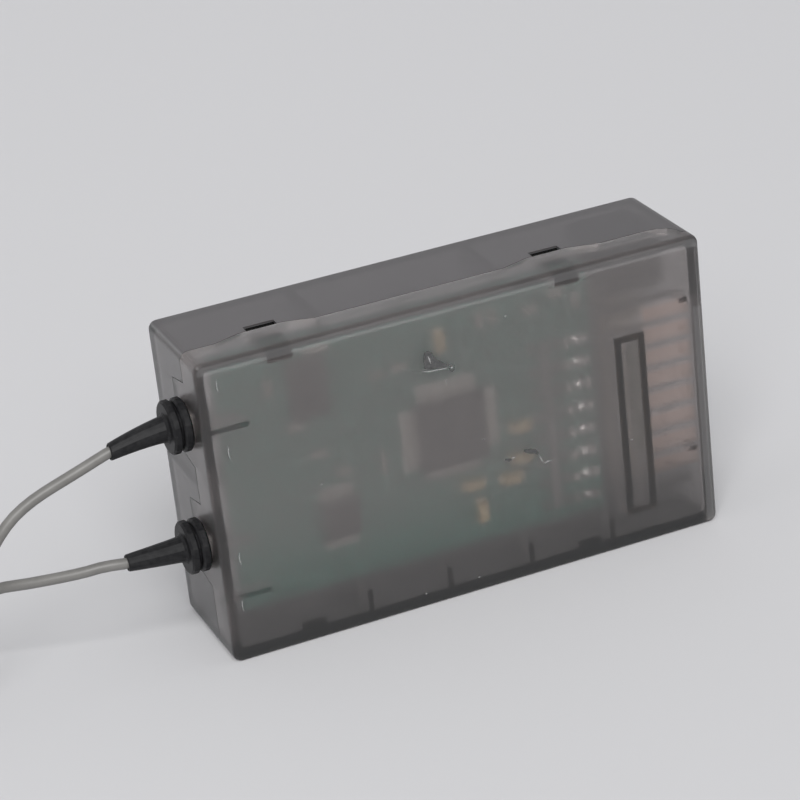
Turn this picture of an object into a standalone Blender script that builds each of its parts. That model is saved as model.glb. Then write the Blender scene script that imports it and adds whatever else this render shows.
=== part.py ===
"""Eight-channel radio control receiver, standing on its long side as it was photographed.

The housing has two translucent halves, a shallow front cover and a deep rear case, that snap
together along a stepped seam. The front cover faces -Y, the two antenna leads leave the left end
towards -X, and the socket for the servo plugs opens at the right end towards +X. The origin lies
on the floor below the middle of the housing. Depths are measured from the front face, heights
from the floor and distances along the housing from its left end.
"""

import math

import bmesh
import bpy
from mathutils import Matrix, Vector

MM = 0.001

# Housing
CASE_LENGTH = 55.0 * MM
CASE_HEIGHT = 32.8 * MM
WALL = 1.1 * MM
PLATE = 1.2 * MM
CORNER_RADIUS = 0.9 * MM
CAVITY_RADIUS = 0.6 * MM
EDGE_RADIUS = 0.5 * MM

# The stack behind the front face: plate, parts, board, header and plate
COMPONENT_SPACE = 2.15 * MM
BOARD_THICKNESS = 1.2 * MM
SEAT_GAP = 0.1 * MM
PIN_PITCH = 2.54 * MM
PLUG_CLEARANCE = 0.53 * MM

# Seam between the halves
SEAM_DEPTH = 4.1 * MM
SEAM_GAP = 0.1 * MM
SEAM_DEPTH_AT_SOCKET = 1.6 * MM
SEAM_CURVE_LENGTH = 2.6 * MM
LIP_HEIGHT = 0.9 * MM
LIP_THICKNESS = 0.45 * MM
LIP_ROOT = 0.6 * MM
LIP_CLEARANCE = 0.1 * MM
LIP_END_MARGIN = 2.6 * MM

# Snap fits, one pair on each long side, set in from the left and the right end
SNAP_SETBACKS = (9.1 * MM, 14.7 * MM)
TAB_DEPTH = 1.0 * MM
TAB_WIDTH = 4.6 * MM
TAB_RAMP = 3.0 * MM
WINDOW_WIDTH = 3.25 * MM
WINDOW_LENGTH = 1.1 * MM
HOOK_WIDTH = 2.7 * MM
HOOK_THICKNESS = 0.8 * MM
HOOK_GAP = 0.12 * MM
HOOK_NOSE = 0.4 * MM
BRIDGE_LENGTH = 0.3 * MM
BRIDGE_MARGIN = 0.5 * MM

# Servo plug socket and pin header
ROWS = 8
LAYERS = 3
ROW_PLACE = 0.229
PIN_WIDTH = 0.64 * MM
PIN_CHAMFER = 0.5 * MM
PIN_TIP_WIDTH = 0.3 * MM
PIN_LENGTH = 5.6 * MM
PIN_SETBACK = 4.2 * MM
PIN_TAIL_STAND = 0.75 * MM
HEADER_WIDTH = 2.5 * MM
HEADER_GROOVE = 0.35 * MM
HEADER_HOLE_GAP = 0.06 * MM
TAIL_SPACING = 1.0 * MM
CELL_CLEARANCE = 0.1 * MM
PARTITION = 0.8 * MM
PARTITION_START_GAP = 0.3 * MM
SOCKET_WALL = 0.8 * MM
SOCKET_WALL_GAP = 0.3 * MM
SOCKET_WALL_START_GAP = 0.3 * MM
GUIDE_RIB_WIDTH = 0.5 * MM
GUIDE_RIB_HEIGHT = 0.7 * MM

# Main board and its solder
BOARD_FIT = 0.18 * MM
BOARD_LIFT = 0.8 * MM
BOARD_LEFT_CLEARANCE = 1.5 * MM
BOARD_PAST_TAILS = 1.6 * MM
BOARD_NOTCH_DEPTH = 2.2 * MM
BOARD_NOTCH_GAP = 0.2 * MM
PIN_HOLE_DIAMETER = 1.05 * MM
JOINT_LENGTH = 2.1 * MM
JOINT_WIDTH = 1.3 * MM
JOINT_HEIGHT = 0.7 * MM
SMALL_JOINT_WIDTH = 1.3 * MM
SMALL_JOINT_HEIGHT = 0.45 * MM
BUS_CLEARANCE = 0.1 * MM
BUS_THICKNESS = 0.2 * MM

# Ribs inside the front cover
RIB_THICKNESS = 0.6 * MM
RIB_TO_BOARD_GAP = 0.3 * MM
FRAME_SETBACK = 10.1 * MM
FRAME_WIDTH = 3.5 * MM
FRAME_THICKNESS = 0.8 * MM
FRAME_BELOW_ROWS = 1.5 * MM
FRAME_SHORT_OF_ROWS = 1.6 * MM
FRAME_DEPTH = 2.2 * MM
END_RIB_LENGTH = 4.0 * MM
END_RIB_DEPTH = 1.4 * MM
END_RIB_SHARES = (0.206, 0.767)
EDGE_RIB_LENGTH = 2.3 * MM
EDGE_RIB_SHARES = (0.28, 0.442, 0.611, 0.782)
SOCKET_RIB_LENGTH = 0.9 * MM
SOCKET_RIB_DEPTH = 1.6 * MM
SOCKET_RIB_SHARES = (0.269, 0.787)
SOCKET_RIB_INSET = 0.4 * MM

# Board rests inside the rear case
REST_PAST_TAB = 0.1 * MM
REST_WIDTH = 1.0 * MM
REST_OVERLAP = 0.9 * MM
END_REST_OVERLAP = 0.8 * MM

# Rubber boots and antenna leads
BOOT_DEPTH = 4.9 * MM
BOOT_HEIGHT_SHARES = {"upper": 0.7625, "lower": 0.3558}
BOOT_SAG = {"upper": 0.9 * MM, "lower": -0.15 * MM}
BOOT_FLANGE_DIAMETER = 5.6 * MM
BOOT_FLANGE_THICKNESS = 0.95 * MM
BOOT_GROOVE_WIDTH = 0.2 * MM
BOOT_GROOVE_DIAMETER = 4.5 * MM
BOOT_ROUNDING = 0.22 * MM
BOOT_NECK_DIAMETER = 3.4 * MM
BOOT_NECK_GAP = 0.15 * MM
BOOT_INNER_DIAMETER = 4.2 * MM
BOOT_INNER_THICKNESS = 0.9 * MM
SLEEVE_LENGTH = 6.0 * MM
SLEEVE_BASE_DIAMETER = 2.75 * MM
SLEEVE_END_DIAMETER = 1.78 * MM
SLEEVE_FILLET = 0.25 * MM
BOOT_BORE_DIAMETER = 1.45 * MM
SEAM_BOSS_WIDTH = 8.0 * MM
SEAM_BOSS_RAMP = 0.6 * MM
SEAM_PAST_BOOT = 2.6 * MM
LEAD_DIAMETER = 1.15 * MM
LEAD_INSIDE = 8.4 * MM
LEAD_POINT_SPACING = 2.0 * LEAD_DIAMETER

# Stored ends of the leads: two stacked coils, then the active tips
COIL_DISTANCE = 36.5 * MM
COIL_SIDE = 2.35 * MM
COIL_RADIUS = 5.75 * MM
COIL_TURN_SPACING = 1.2 * MM
COIL_LAYER_TURNS = 1.5
TURN_CLEARANCE = 0.3 * MM
TIP_DIAMETER = 0.9 * MM
TIP_LENGTH = 31.0 * MM

# Points chosen along each lead's free stretch, as shares of the way from the boot's end to the
# coil: along, sideways and down
FREE_POINTS = {
    "upper": (
        (0.108, -0.111, 0.044),
        (0.191, -0.086, 0.083),
        (0.286, -0.062, 0.132),
        (0.357, -0.037, 0.178),
        (0.428, 0.012, 0.237),
        (0.494, 0.062, 0.312),
        (0.56, 0.136, 0.405),
        (0.627, 0.235, 0.521),
        (0.689, 0.358, 0.65),
        (0.756, 0.531, 0.785),
        (0.826, 0.728, 0.895),
        (0.909, 0.877, 0.961),
    ),
    "lower": (
        (0.095, 0.033, -0.014),
        (0.179, 0.082, 0.005),
        (0.274, 0.157, 0.028),
        (0.394, 0.277, 0.07),
        (0.511, 0.41, 0.141),
        (0.619, 0.548, 0.258),
        (0.71, 0.672, 0.417),
        (0.785, 0.774, 0.614),
        (0.851, 0.867, 0.801),
        (0.926, 0.956, 0.93),
    ),
}

# Chips and small parts: each size is along, up and height above the board. Each place is a
# share of the free room that the part's zone of the board leaves it, along and up.
ZONE_MARGIN = 0.1 * MM
MICROCONTROLLER_SIZE = (7.2 * MM, 7.2 * MM, 1.4 * MM)
MICROCONTROLLER_PLACE = (0.789, 0.5435)
MICROCONTROLLER_LEADS = 12
MICROCONTROLLER_LEAD_PITCH = 0.5 * MM
MEMORY_CHIP_SIZE = (3.9 * MM, 3.9 * MM, 1.3 * MM)
MEMORY_CHIP_PLACE = (0.3157, 0.279)
MEMORY_CHIP_LEADS = 5
MEMORY_CHIP_LEAD_PITCH = 0.72 * MM
LEAD_REACH = 1.5 * MM
LEAD_FOOT = 1.0 * MM
LEAD_THICKNESS = 0.16 * MM
LEAD_WIDTH_SHARE = 0.5
CHIP_BEVEL = 0.15 * MM
RADIO_CHIP_WIDTH = 4.0 * MM
RADIO_CHIP_THICKNESS = 0.9 * MM
RADIO_CHIP_HEIGHT_SHARE = 0.229
RADIO_CHIP_PLACE = (0.254, 0.953)
CAPACITOR_SIZE = (1.7 * MM, 1.1 * MM, 1.0 * MM)
CAPACITOR_PLACES = (
    (0.723, 0.918, True),
    (0.98, 0.468, False),
    (0.974, 0.338, False),
    (0.932, 0.263, False),
)
LOW_CAPACITOR_PLACES = (
    (0.794, 0.899, False),
    (0.81, 0.51, True),
)
CAPACITOR_TO_LEADS_GAP = 0.2 * MM
RESISTOR_SIZE = (1.6 * MM, 0.85 * MM, 0.5 * MM)
RESISTOR_PLACES = (
    (0.22, 0.712, False),
    (0.285, 0.581, False),
    (0.155, 0.907, True),
    (0.506, 0.835, False),
    (0.863, 0.96, True),
    (0.908, 0.96, True),
)
TOP_RESISTOR_PLACES = (
    (0.079, 0.6, False),
    (0.535, 0.835, False),
    (0.842, 0.569, True),
)
TERMINAL_LENGTH = 0.35 * MM
TERMINAL_STEP = 0.06 * MM
SUPPLY_CAPACITOR_DIAMETER = 4.6 * MM
SUPPLY_CAPACITOR_HEIGHT = 5.2 * MM
SUPPLY_CAPACITOR_PLACE = (0.629, 0.966)
SUPPLY_CAPACITOR_BASE = 0.8 * MM
REGULATOR_SIZE = (6.5 * MM, 3.5 * MM, 1.6 * MM)
REGULATOR_PLACE = (0.808, 0.412)
REGULATOR_TAB = (3.0 * MM, 1.4 * MM, 0.3 * MM)
CRYSTAL_SIZE = (5.0 * MM, 3.2 * MM, 1.1 * MM)
CRYSTAL_PLACE = (0.318, 0.636)
CRYSTAL_RADIUS = 0.6 * MM

# Values that follow from the ones above
LAYER_STACK = LAYERS * PIN_PITCH
BOARD_FRONT = PLATE + COMPONENT_SPACE
BOARD_BACK = BOARD_FRONT + BOARD_THICKNESS
CASE_DEPTH = BOARD_BACK + SEAT_GAP + LAYER_STACK + PLUG_CLEARANCE + PLATE
LEFT = -CASE_LENGTH / 2
RIGHT = CASE_LENGTH / 2
FRONT = -CASE_DEPTH / 2
BACK = CASE_DEPTH / 2
SNAP_PLACES = (LEFT + SNAP_SETBACKS[0], RIGHT - SNAP_SETBACKS[1])
BOOT_HEIGHTS = {name: share * CASE_HEIGHT for name, share in BOOT_HEIGHT_SHARES.items()}
COIL_CENTRE = Vector((LEFT - COIL_DISTANCE, COIL_SIDE))
CELL_HALF = ROWS * PIN_PITCH / 2 + CELL_CLEARANCE
HOOK_ROOM = HOOK_GAP + HOOK_THICKNESS + BOARD_FIT
BOARD_BOTTOM = WALL + HOOK_ROOM + BOARD_LIFT
BOARD_TOP = CASE_HEIGHT - WALL - HOOK_ROOM
BOARD_HEIGHT = BOARD_TOP - BOARD_BOTTOM
ROW_ROOM = BOARD_HEIGHT - 2 * CELL_HALF
ROW_CENTRE_HEIGHT = BOARD_BOTTOM + CELL_HALF + ROW_PLACE * ROW_ROOM
CELL_BOTTOM = ROW_CENTRE_HEIGHT - CELL_HALF
CELL_TOP = ROW_CENTRE_HEIGHT + CELL_HALF
PIN_TIP = RIGHT - PIN_SETBACK
HEADER_RIGHT = PIN_TIP - PIN_LENGTH
HEADER_LEFT = HEADER_RIGHT - HEADER_WIDTH
FIRST_TAIL = HEADER_LEFT - TAIL_SPACING
TAB_RIM = SEAM_DEPTH + TAB_DEPTH
WINDOW_END = TAB_RIM + SEAM_GAP + WINDOW_LENGTH
BOARD_LEFT = LEFT + WALL + BOARD_LEFT_CLEARANCE
BOARD_RIGHT = FIRST_TAIL + BOARD_PAST_TAILS
BOOT_FACE = LEFT - SEAT_GAP
SLEEVE_START = BOOT_FACE - 2 * BOOT_FLANGE_THICKNESS - BOOT_GROOVE_WIDTH
SLEEVE_END = SLEEVE_START - SLEEVE_LENGTH
COIL_HALF_WIDTH = COIL_TURN_SPACING * COIL_LAYER_TURNS / 2
COIL_OUTER = COIL_RADIUS + COIL_HALF_WIDTH + LEAD_DIAMETER / 2
COIL_INNER = COIL_RADIUS - COIL_HALF_WIDTH - LEAD_DIAMETER / 2
COIL_HEIGHT = COIL_TURN_SPACING + LEAD_DIAMETER
RADIO_CHIP_SIZE = (RADIO_CHIP_WIDTH, RADIO_CHIP_HEIGHT_SHARE * BOARD_HEIGHT, RADIO_CHIP_THICKNESS)


def clear_scene():
    for item in list(bpy.data.objects):
        bpy.data.objects.remove(item, do_unlink=True)


def make_material(name, colour, roughness, metallic=0.0, alpha=1.0):
    material = bpy.data.materials.new(name)
    material.use_nodes = True
    shader = material.node_tree.nodes["Principled BSDF"]
    shader.inputs["Base Color"].default_value = (*colour, 1.0)
    shader.inputs["Roughness"].default_value = roughness
    shader.inputs["Metallic"].default_value = metallic
    shader.inputs["Alpha"].default_value = alpha
    material.diffuse_color = (*colour, alpha)
    return material


def add_object(name, bm, material=None, sharp_angle=35.0):
    """Turn a bmesh into a named object with outward faces, smooth apart from its sharp edges."""
    bmesh.ops.recalc_face_normals(bm, faces=bm.faces)
    mesh = bpy.data.meshes.new(name)
    bm.to_mesh(mesh)
    bm.free()
    item = bpy.data.objects.new(name, mesh)
    bpy.context.collection.objects.link(item)
    if material:
        mesh.materials.append(material)
    smooth(item, sharp_angle)
    return item


def smooth(item, sharp_angle=35.0):
    item.data.shade_smooth()
    item.data.set_sharp_from_angle(angle=math.radians(sharp_angle))


def combine(body, tool, operation):
    """Apply one Boolean to the body and discard the tool."""
    step = body.modifiers.new(operation.title(), "BOOLEAN")
    step.operation = operation
    step.solver = "EXACT"
    step.object = tool
    with bpy.context.temp_override(object=body, active_object=body):
        bpy.ops.object.modifier_apply(modifier=step.name)
    bpy.data.objects.remove(tool, do_unlink=True)


def cut(body, bm):
    combine(body, add_object("cutter", bm), "DIFFERENCE")


def add(body, bm):
    combine(body, add_object("addition", bm), "UNION")


def oriented(axis, first, second, along):
    """A point from two outline coordinates and a distance along the extrusion axis."""
    if axis == "X":
        return Vector((along, first, second))
    if axis == "Y":
        return Vector((first, along, second))
    return Vector((first, second, along))


def extruded(outline, axis, start, end):
    """A closed prism: the outline in the plane across the axis, pulled from start to end."""
    bm = bmesh.new()
    extend(bm, outline, axis, start, end)
    return bm


def extend(bm, outline, axis, start, end):
    corners = [bm.verts.new(oriented(axis, a, b, start)) for a, b in outline]
    face = bm.faces.new(corners)
    pulled = bmesh.ops.extrude_face_region(bm, geom=[face])
    moved = [v for v in pulled["geom"] if isinstance(v, bmesh.types.BMVert)]
    bmesh.ops.translate(bm, verts=moved, vec=oriented(axis, 0, 0, end - start))


def rectangle(a0, a1, b0, b1):
    return [(a0, b0), (a1, b0), (a1, b1), (a0, b1)]


def block(x0, x1, y0, y1, z0, z1):
    """A rectangular solid between two depths, two heights and two places along the housing."""
    return extruded(rectangle(x0, x1, y0, y1), "Z", z0, z1)


def rounded(a0, a1, b0, b1, radius, steps=4):
    """A rectangle with round corners, as a list of points."""
    points = []
    centres = (
        (a1 - radius, b0 + radius, -90),
        (a1 - radius, b1 - radius, 0),
        (a0 + radius, b1 - radius, 90),
        (a0 + radius, b0 + radius, 180),
    )
    for ca, cb, start in centres:
        for step in range(steps + 1):
            angle = math.radians(start + 90 * step / steps)
            points.append((ca + radius * math.cos(angle), cb + radius * math.sin(angle)))
    return points


def circle(a, b, radius, steps=24):
    turn = 2 * math.pi / steps
    return [
        (a + radius * math.cos(i * turn), b + radius * math.sin(i * turn)) for i in range(steps)
    ]


def turned(profile, steps, closed=False):
    """Spin a profile of radius and height about Z. A closed profile makes a ring."""
    bm = bmesh.new()
    line = [bm.verts.new((radius, 0, height)) for radius, height in profile]
    edges = [bm.edges.new(pair) for pair in zip(line, line[1:])]
    if closed:
        edges.append(bm.edges.new((line[-1], line[0])))
    bmesh.ops.spin(
        bm,
        geom=line + edges,
        axis=(0, 0, 1),
        cent=(0, 0, 0),
        angle=2 * math.pi,
        steps=steps,
        use_duplicate=False,
        use_merge=True,
    )
    bmesh.ops.remove_doubles(bm, verts=bm.verts, dist=0.001 * MM)
    return bm


def case_block():
    """The whole housing as one solid, with round corners and softly rounded front and back rims."""
    bm = extruded(rounded(LEFT, RIGHT, 0, CASE_HEIGHT, CORNER_RADIUS), "Y", FRONT, BACK)
    rims = [
        edge
        for edge in bm.edges
        if abs(edge.verts[0].co.y - edge.verts[1].co.y) < SEAM_GAP
    ]
    bmesh.ops.bevel(
        bm, geom=rims, offset=EDGE_RADIUS, segments=3, profile=0.5, affect="EDGES"
    )
    return bm


def cavity_block():
    inside = rounded(LEFT + WALL, RIGHT - WALL, WALL, CASE_HEIGHT - WALL, CAVITY_RADIUS, 2)
    return extruded(inside, "Y", FRONT + PLATE, BACK - PLATE)


def seam_line():
    """The seam seen from above, from left to right: tabs at the snap fits, then a curve forward."""
    points = [(LEFT - WALL, SEAM_DEPTH)]
    for middle in SNAP_PLACES:
        half = TAB_WIDTH / 2
        points += [
            (middle - half - TAB_RAMP, SEAM_DEPTH),
            (middle - half, SEAM_DEPTH + TAB_DEPTH),
            (middle + half, SEAM_DEPTH + TAB_DEPTH),
            (middle + half + TAB_RAMP, SEAM_DEPTH),
        ]
    curve_end = RIGHT - WALL
    for step in range(5):
        angle = math.radians(90 - 90 * step / 4)
        rise = (SEAM_DEPTH - SEAM_DEPTH_AT_SOCKET) * math.sin(angle)
        along = curve_end - SEAM_CURVE_LENGTH * (1 - math.cos(angle))
        points.append((along, SEAM_DEPTH_AT_SOCKET + rise))
    points.append((RIGHT + WALL, SEAM_DEPTH_AT_SOCKET))
    return points


def offset_line(points, gap):
    """The line moved sideways by the gap, square to its own run, towards the back."""
    moved = []
    for index, point in enumerate(points):
        before = points[max(index - 1, 0)]
        after = points[min(index + 1, len(points) - 1)]
        run = Vector((after[0] - before[0], after[1] - before[1])).normalized()
        moved.append((point[0] - gap * run.y, point[1] + gap * run.x))
    return moved


def front_zone(gap):
    """The space that belongs to the front cover, grown backwards by the gap."""
    line = [(x, FRONT + depth) for x, depth in offset_line(seam_line(), gap)]
    outline = [(LEFT - WALL, FRONT - WALL), *line, (RIGHT + WALL, FRONT - WALL)]
    zone = add_object("zone", extruded(outline, "Z", -WALL, CASE_HEIGHT + WALL))
    half = SEAM_BOSS_WIDTH / 2
    for height in BOOT_HEIGHTS.values():
        boss_line = [
            (height - half - SEAM_BOSS_RAMP, SEAM_DEPTH),
            (height - half, BOOT_DEPTH + SEAM_PAST_BOOT),
            (height + half, BOOT_DEPTH + SEAM_PAST_BOOT),
            (height + half + SEAM_BOSS_RAMP, SEAM_DEPTH),
        ]
        boss = [(FRONT + depth, z) for z, depth in offset_line(boss_line, gap)]
        root = FRONT + SEAM_DEPTH - WALL
        boss = [(root, boss[0][1]), *boss, (root, boss[-1][1])]
        add(zone, extruded(boss, "X", LEFT - WALL / 2, LEFT + 1.5 * WALL))
    return zone


def lip_strips(grow):
    """The tongue of the rear case that laps behind the cover's rim, in strips, each grown all round."""
    seam = FRONT + SEAM_DEPTH
    y0 = seam - LIP_HEIGHT - grow
    y1 = seam + LIP_ROOT
    strips = []
    stops = [LEFT + LIP_END_MARGIN]
    for place in SNAP_PLACES:
        reach = TAB_WIDTH / 2 + TAB_RAMP + LIP_CLEARANCE
        stops += [place - reach, place + reach]
    stops.append(RIGHT - WALL - SEAM_CURVE_LENGTH - LIP_CLEARANCE)
    for x0, x1 in zip(stops[::2], stops[1::2]):
        if x1 - x0 > LIP_END_MARGIN / 2:
            for wall_face, outward in ((WALL, -1), (CASE_HEIGHT - WALL, 1)):
                inner = wall_face - outward * grow
                outer = wall_face + outward * (LIP_THICKNESS + grow)
                low, high = sorted((inner, outer))
                strips.append((x0 - grow, x1 + grow, y0, y1, low, high))
    half = WINDOW_WIDTH / 2 + BRIDGE_MARGIN + grow
    for middle in SNAP_PLACES:
        bridge = (FRONT + TAB_RIM - LIP_HEIGHT - grow, FRONT + TAB_RIM + SEAM_GAP + BRIDGE_LENGTH)
        for wall_face, outward in ((WALL, -1), (CASE_HEIGHT - WALL, 1)):
            inner = wall_face - outward * grow
            outer = wall_face + outward * (LIP_THICKNESS + grow)
            low, high = sorted((inner, outer))
            strips.append((middle - half, middle + half, *bridge, low, high))
    reach = SEAM_BOSS_WIDTH / 2 + SEAM_BOSS_RAMP + LIP_CLEARANCE
    low_boot, high_boot = sorted(BOOT_HEIGHTS.values())
    x0 = LEFT + WALL - LIP_THICKNESS - grow
    x1 = LEFT + WALL + grow
    for z0, z1 in ((LIP_END_MARGIN, low_boot - reach), (low_boot + reach, high_boot - reach)):
        strips.append((x0, x1, y0, y1, z0 - grow, z1 + grow))
    return strips


def hook(middle, top):
    """One snap hook of the cover: a tongue behind the case wall with a nose for its window."""
    face = CASE_HEIGHT - WALL if top else WALL
    out = 1 if top else -1
    y_root = FRONT + PLATE / 2
    y_step = FRONT + TAB_RIM - LIP_HEIGHT - LIP_CLEARANCE
    y_nose = FRONT + TAB_RIM + SEAM_GAP + BRIDGE_LENGTH + HOOK_GAP
    y_end = FRONT + WINDOW_END - HOOK_GAP
    outline = [
        (y_root, face + out * WALL / 2),
        (y_step, face + out * WALL / 2),
        (y_step, face - out * HOOK_GAP),
        (y_nose, face - out * HOOK_GAP),
        (y_nose, face + out * HOOK_NOSE),
        ((y_nose + y_end) / 2, face + out * HOOK_NOSE),
        (y_end, face - out * HOOK_GAP),
        (y_end, face - out * (HOOK_GAP + HOOK_THICKNESS)),
        (y_root, face - out * (HOOK_GAP + HOOK_THICKNESS)),
    ]
    return extruded(outline, "X", middle - HOOK_WIDTH / 2, middle + HOOK_WIDTH / 2)


def boot_hole(height, radius):
    return extruded(circle(FRONT + BOOT_DEPTH, height, radius), "X", LEFT - WALL, LEFT + 2 * WALL)


def front_cover(material):
    """The shallow half: plate, rim, rebate for the case's tongue, snap hooks and inner ribs."""
    cover = add_object("front_cover", case_block(), material)
    combine(cover, front_zone(0), "INTERSECT")
    cut(cover, cavity_block())
    add_cover_ribs(cover)
    for x0, x1, y0, y1, z0, z1 in lip_strips(LIP_CLEARANCE):
        cut(cover, block(x0, x1, y0, y1, z0, z1))
    for height in BOOT_HEIGHTS.values():
        cut(cover, boot_hole(height, BOOT_NECK_DIAMETER / 2 + BOOT_NECK_GAP))
    for place in SNAP_PLACES:
        for top in (True, False):
            add(cover, hook(place, top))
    smooth(cover)
    return cover


def add_cover_ribs(cover):
    """Ribs that hold the board down, and the frame that presses on the pin header."""
    root = FRONT + PLATE / 2
    tip = FRONT + BOARD_FRONT - RIB_TO_BOARD_GAP
    half = RIB_THICKNESS / 2
    for share in END_RIB_SHARES:
        height = share * CASE_HEIGHT
        end = LEFT + WALL + END_RIB_LENGTH
        deep = FRONT + PLATE + END_RIB_DEPTH
        add(cover, block(LEFT + WALL / 2, end, root, deep, height - half, height + half))
    for share in EDGE_RIB_SHARES:
        x0 = LEFT + share * CASE_LENGTH - half
        add(cover, block(x0, x0 + RIB_THICKNESS, root, tip, WALL / 2, WALL + EDGE_RIB_LENGTH))
    right = RIGHT - WALL - SOCKET_RIB_INSET
    deep = FRONT + PLATE + SOCKET_RIB_DEPTH
    for share in SOCKET_RIB_SHARES:
        height = share * CASE_HEIGHT
        start = right - SOCKET_RIB_LENGTH
        add(cover, block(start, right, root, deep, height - half, height + half))
    x0 = RIGHT - FRAME_SETBACK
    x1 = x0 + FRAME_WIDTH
    z0 = CELL_BOTTOM - FRAME_BELOW_ROWS
    z1 = CELL_TOP - FRAME_SHORT_OF_ROWS
    frame = add_object("frame", block(x0, x1, root, FRONT + PLATE + FRAME_DEPTH, z0, z1))
    inner = block(
        x0 + FRAME_THICKNESS,
        x1 - FRAME_THICKNESS,
        FRONT + PLATE,
        FRONT + PLATE + 2 * FRAME_DEPTH,
        z0 + FRAME_THICKNESS,
        z1 - FRAME_THICKNESS,
    )
    cut(frame, inner)
    combine(cover, frame, "UNION")


def rear_case(material):
    """The deep half: walls, tongue, snap windows, board rests and the servo plug socket."""
    case = add_object("rear_case", case_block(), material)
    combine(case, front_zone(SEAM_GAP), "DIFFERENCE")
    cut(case, cavity_block())
    for x0, x1, y0, y1, z0, z1 in lip_strips(0):
        add(case, block(x0, x1, y0, y1, z0, z1))
    for height in BOOT_HEIGHTS.values():
        cut(case, boot_hole(height, BOOT_NECK_DIAMETER / 2 + BOOT_NECK_GAP))
    start = FRONT + SEAM_DEPTH
    middle = FRONT + TAB_RIM + SEAM_GAP + BRIDGE_LENGTH
    end = FRONT + WINDOW_END
    skin = WALL - LIP_THICKNESS
    for place in SNAP_PLACES:
        x0 = place - WINDOW_WIDTH / 2
        x1 = x0 + WINDOW_WIDTH
        for z0 in (-WALL, CASE_HEIGHT - 2 * WALL):
            cut(case, block(x0, x1, middle, end, z0, z0 + 3 * WALL))
        cut(case, block(x0, x1, start, end, -WALL, skin))
        cut(case, block(x0, x1, start, end, CASE_HEIGHT - skin, CASE_HEIGHT + WALL))
    add_board_rests(case)
    add_socket(case)
    smooth(case)
    return case


def add_board_rests(case):
    """Rails on the long walls and one on the left wall that the board lies against."""
    front = FRONT + BOARD_BACK + SEAT_GAP
    back = BACK - PLATE / 2
    reach = TAB_WIDTH / 2 + TAB_RAMP + REST_PAST_TAB
    for x0 in (SNAP_PLACES[0] + reach, SNAP_PLACES[1] - reach - REST_WIDTH):
        x1 = x0 + REST_WIDTH
        add(case, block(x0, x1, front, back, WALL / 2, BOARD_BOTTOM + REST_OVERLAP))
        add(case, block(x0, x1, front, back, BOARD_TOP - REST_OVERLAP, CASE_HEIGHT - WALL / 2))
    z0 = sum(BOOT_HEIGHTS.values()) / 2 - REST_WIDTH / 2
    inner = BOARD_LEFT + END_REST_OVERLAP
    add(case, block(LEFT + WALL / 2, inner, front, back, z0, z0 + REST_WIDTH))


def add_socket(case):
    """The plug socket: a tunnel of front wall and two partitions, its mouth and a guide rib per channel."""
    wall_back = FRONT + BOARD_BACK + SEAT_GAP - SOCKET_WALL_GAP
    wall_front = wall_back - SOCKET_WALL
    wall_start = HEADER_RIGHT + SOCKET_WALL_START_GAP
    bottom = CELL_BOTTOM - PARTITION
    top = CELL_TOP + PARTITION
    partition_front = FRONT + BOARD_BACK + PARTITION_START_GAP
    for z0 in (bottom, CELL_TOP):
        z1 = z0 + PARTITION
        add(case, block(HEADER_LEFT, RIGHT - WALL / 2, partition_front, BACK - PLATE / 2, z0, z1))
        add(case, block(wall_start, RIGHT - WALL / 2, wall_front, BACK - PLATE / 2, z0, z1))
    add(case, block(wall_start, RIGHT - WALL / 2, wall_front, wall_back, bottom, top))
    cut(case, block(RIGHT - 2 * WALL, RIGHT + WALL, wall_back, BACK - PLATE, CELL_BOTTOM, CELL_TOP))
    y0 = wall_back - SOCKET_WALL / 2
    y1 = wall_back + GUIDE_RIB_HEIGHT
    for row in range(1, ROWS):
        z0 = CELL_BOTTOM + CELL_CLEARANCE + row * PIN_PITCH - GUIDE_RIB_WIDTH / 2
        add(case, block(wall_start, RIGHT - EDGE_RADIUS, y0, y1, z0, z0 + GUIDE_RIB_WIDTH))


def row_height(row):
    return ROW_CENTRE_HEIGHT + (row - (ROWS - 1) / 2) * PIN_PITCH


def layer_depth(layer):
    return FRONT + BOARD_BACK + SEAT_GAP + (layer + 0.5) * PIN_PITCH


def tail_place(layer):
    return FIRST_TAIL - layer * PIN_PITCH


def header_block(material):
    """The plastic spacer of the pin header, grooved between the rows and pierced for each pin."""
    y0 = FRONT + BOARD_BACK + SEAT_GAP
    y1 = y0 + LAYER_STACK
    bottom = row_height(0) - PIN_PITCH / 2
    left_side = [(y0, bottom)]
    right_side = [(y1, bottom)]
    for row in range(1, ROWS):
        z = bottom + row * PIN_PITCH
        for side, y, inward in ((left_side, y0, 1), (right_side, y1, -1)):
            side += [
                (y, z - HEADER_GROOVE),
                (y + inward * HEADER_GROOVE, z),
                (y, z + HEADER_GROOVE),
            ]
    top = bottom + ROWS * PIN_PITCH
    left_side.append((y0, top))
    right_side.append((y1, top))
    spacer = add_object(
        "header_block",
        extruded(right_side + left_side[::-1], "X", HEADER_LEFT, HEADER_RIGHT),
        material,
    )
    holes = bmesh.new()
    half = PIN_WIDTH / 2 + HEADER_HOLE_GAP
    for row in range(ROWS):
        for layer in range(LAYERS):
            y = layer_depth(layer)
            z = row_height(row)
            hole = rectangle(y - half, y + half, z - half, z + half)
            extend(holes, hole, "X", HEADER_LEFT - WALL, HEADER_RIGHT + WALL)
    cut(spacer, holes)
    return spacer


def solder_dome(length, width, height):
    """A solder fillet on the board's front, rounder at its foot and drawn up to the pin."""
    profile = [(0, 0), (1.0, 0), (0.96, 0.25), (0.78, 0.6), (0.45, 0.92), (0, 1.0)]
    bm = turned([(r * width / 2, h * height) for r, h in profile], 12)
    bmesh.ops.scale(bm, verts=bm.verts, vec=(length / width, 1, 1))
    upright = Matrix.Rotation(math.radians(90), 4, "X")
    bmesh.ops.transform(bm, matrix=upright, verts=bm.verts)
    return bm


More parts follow.
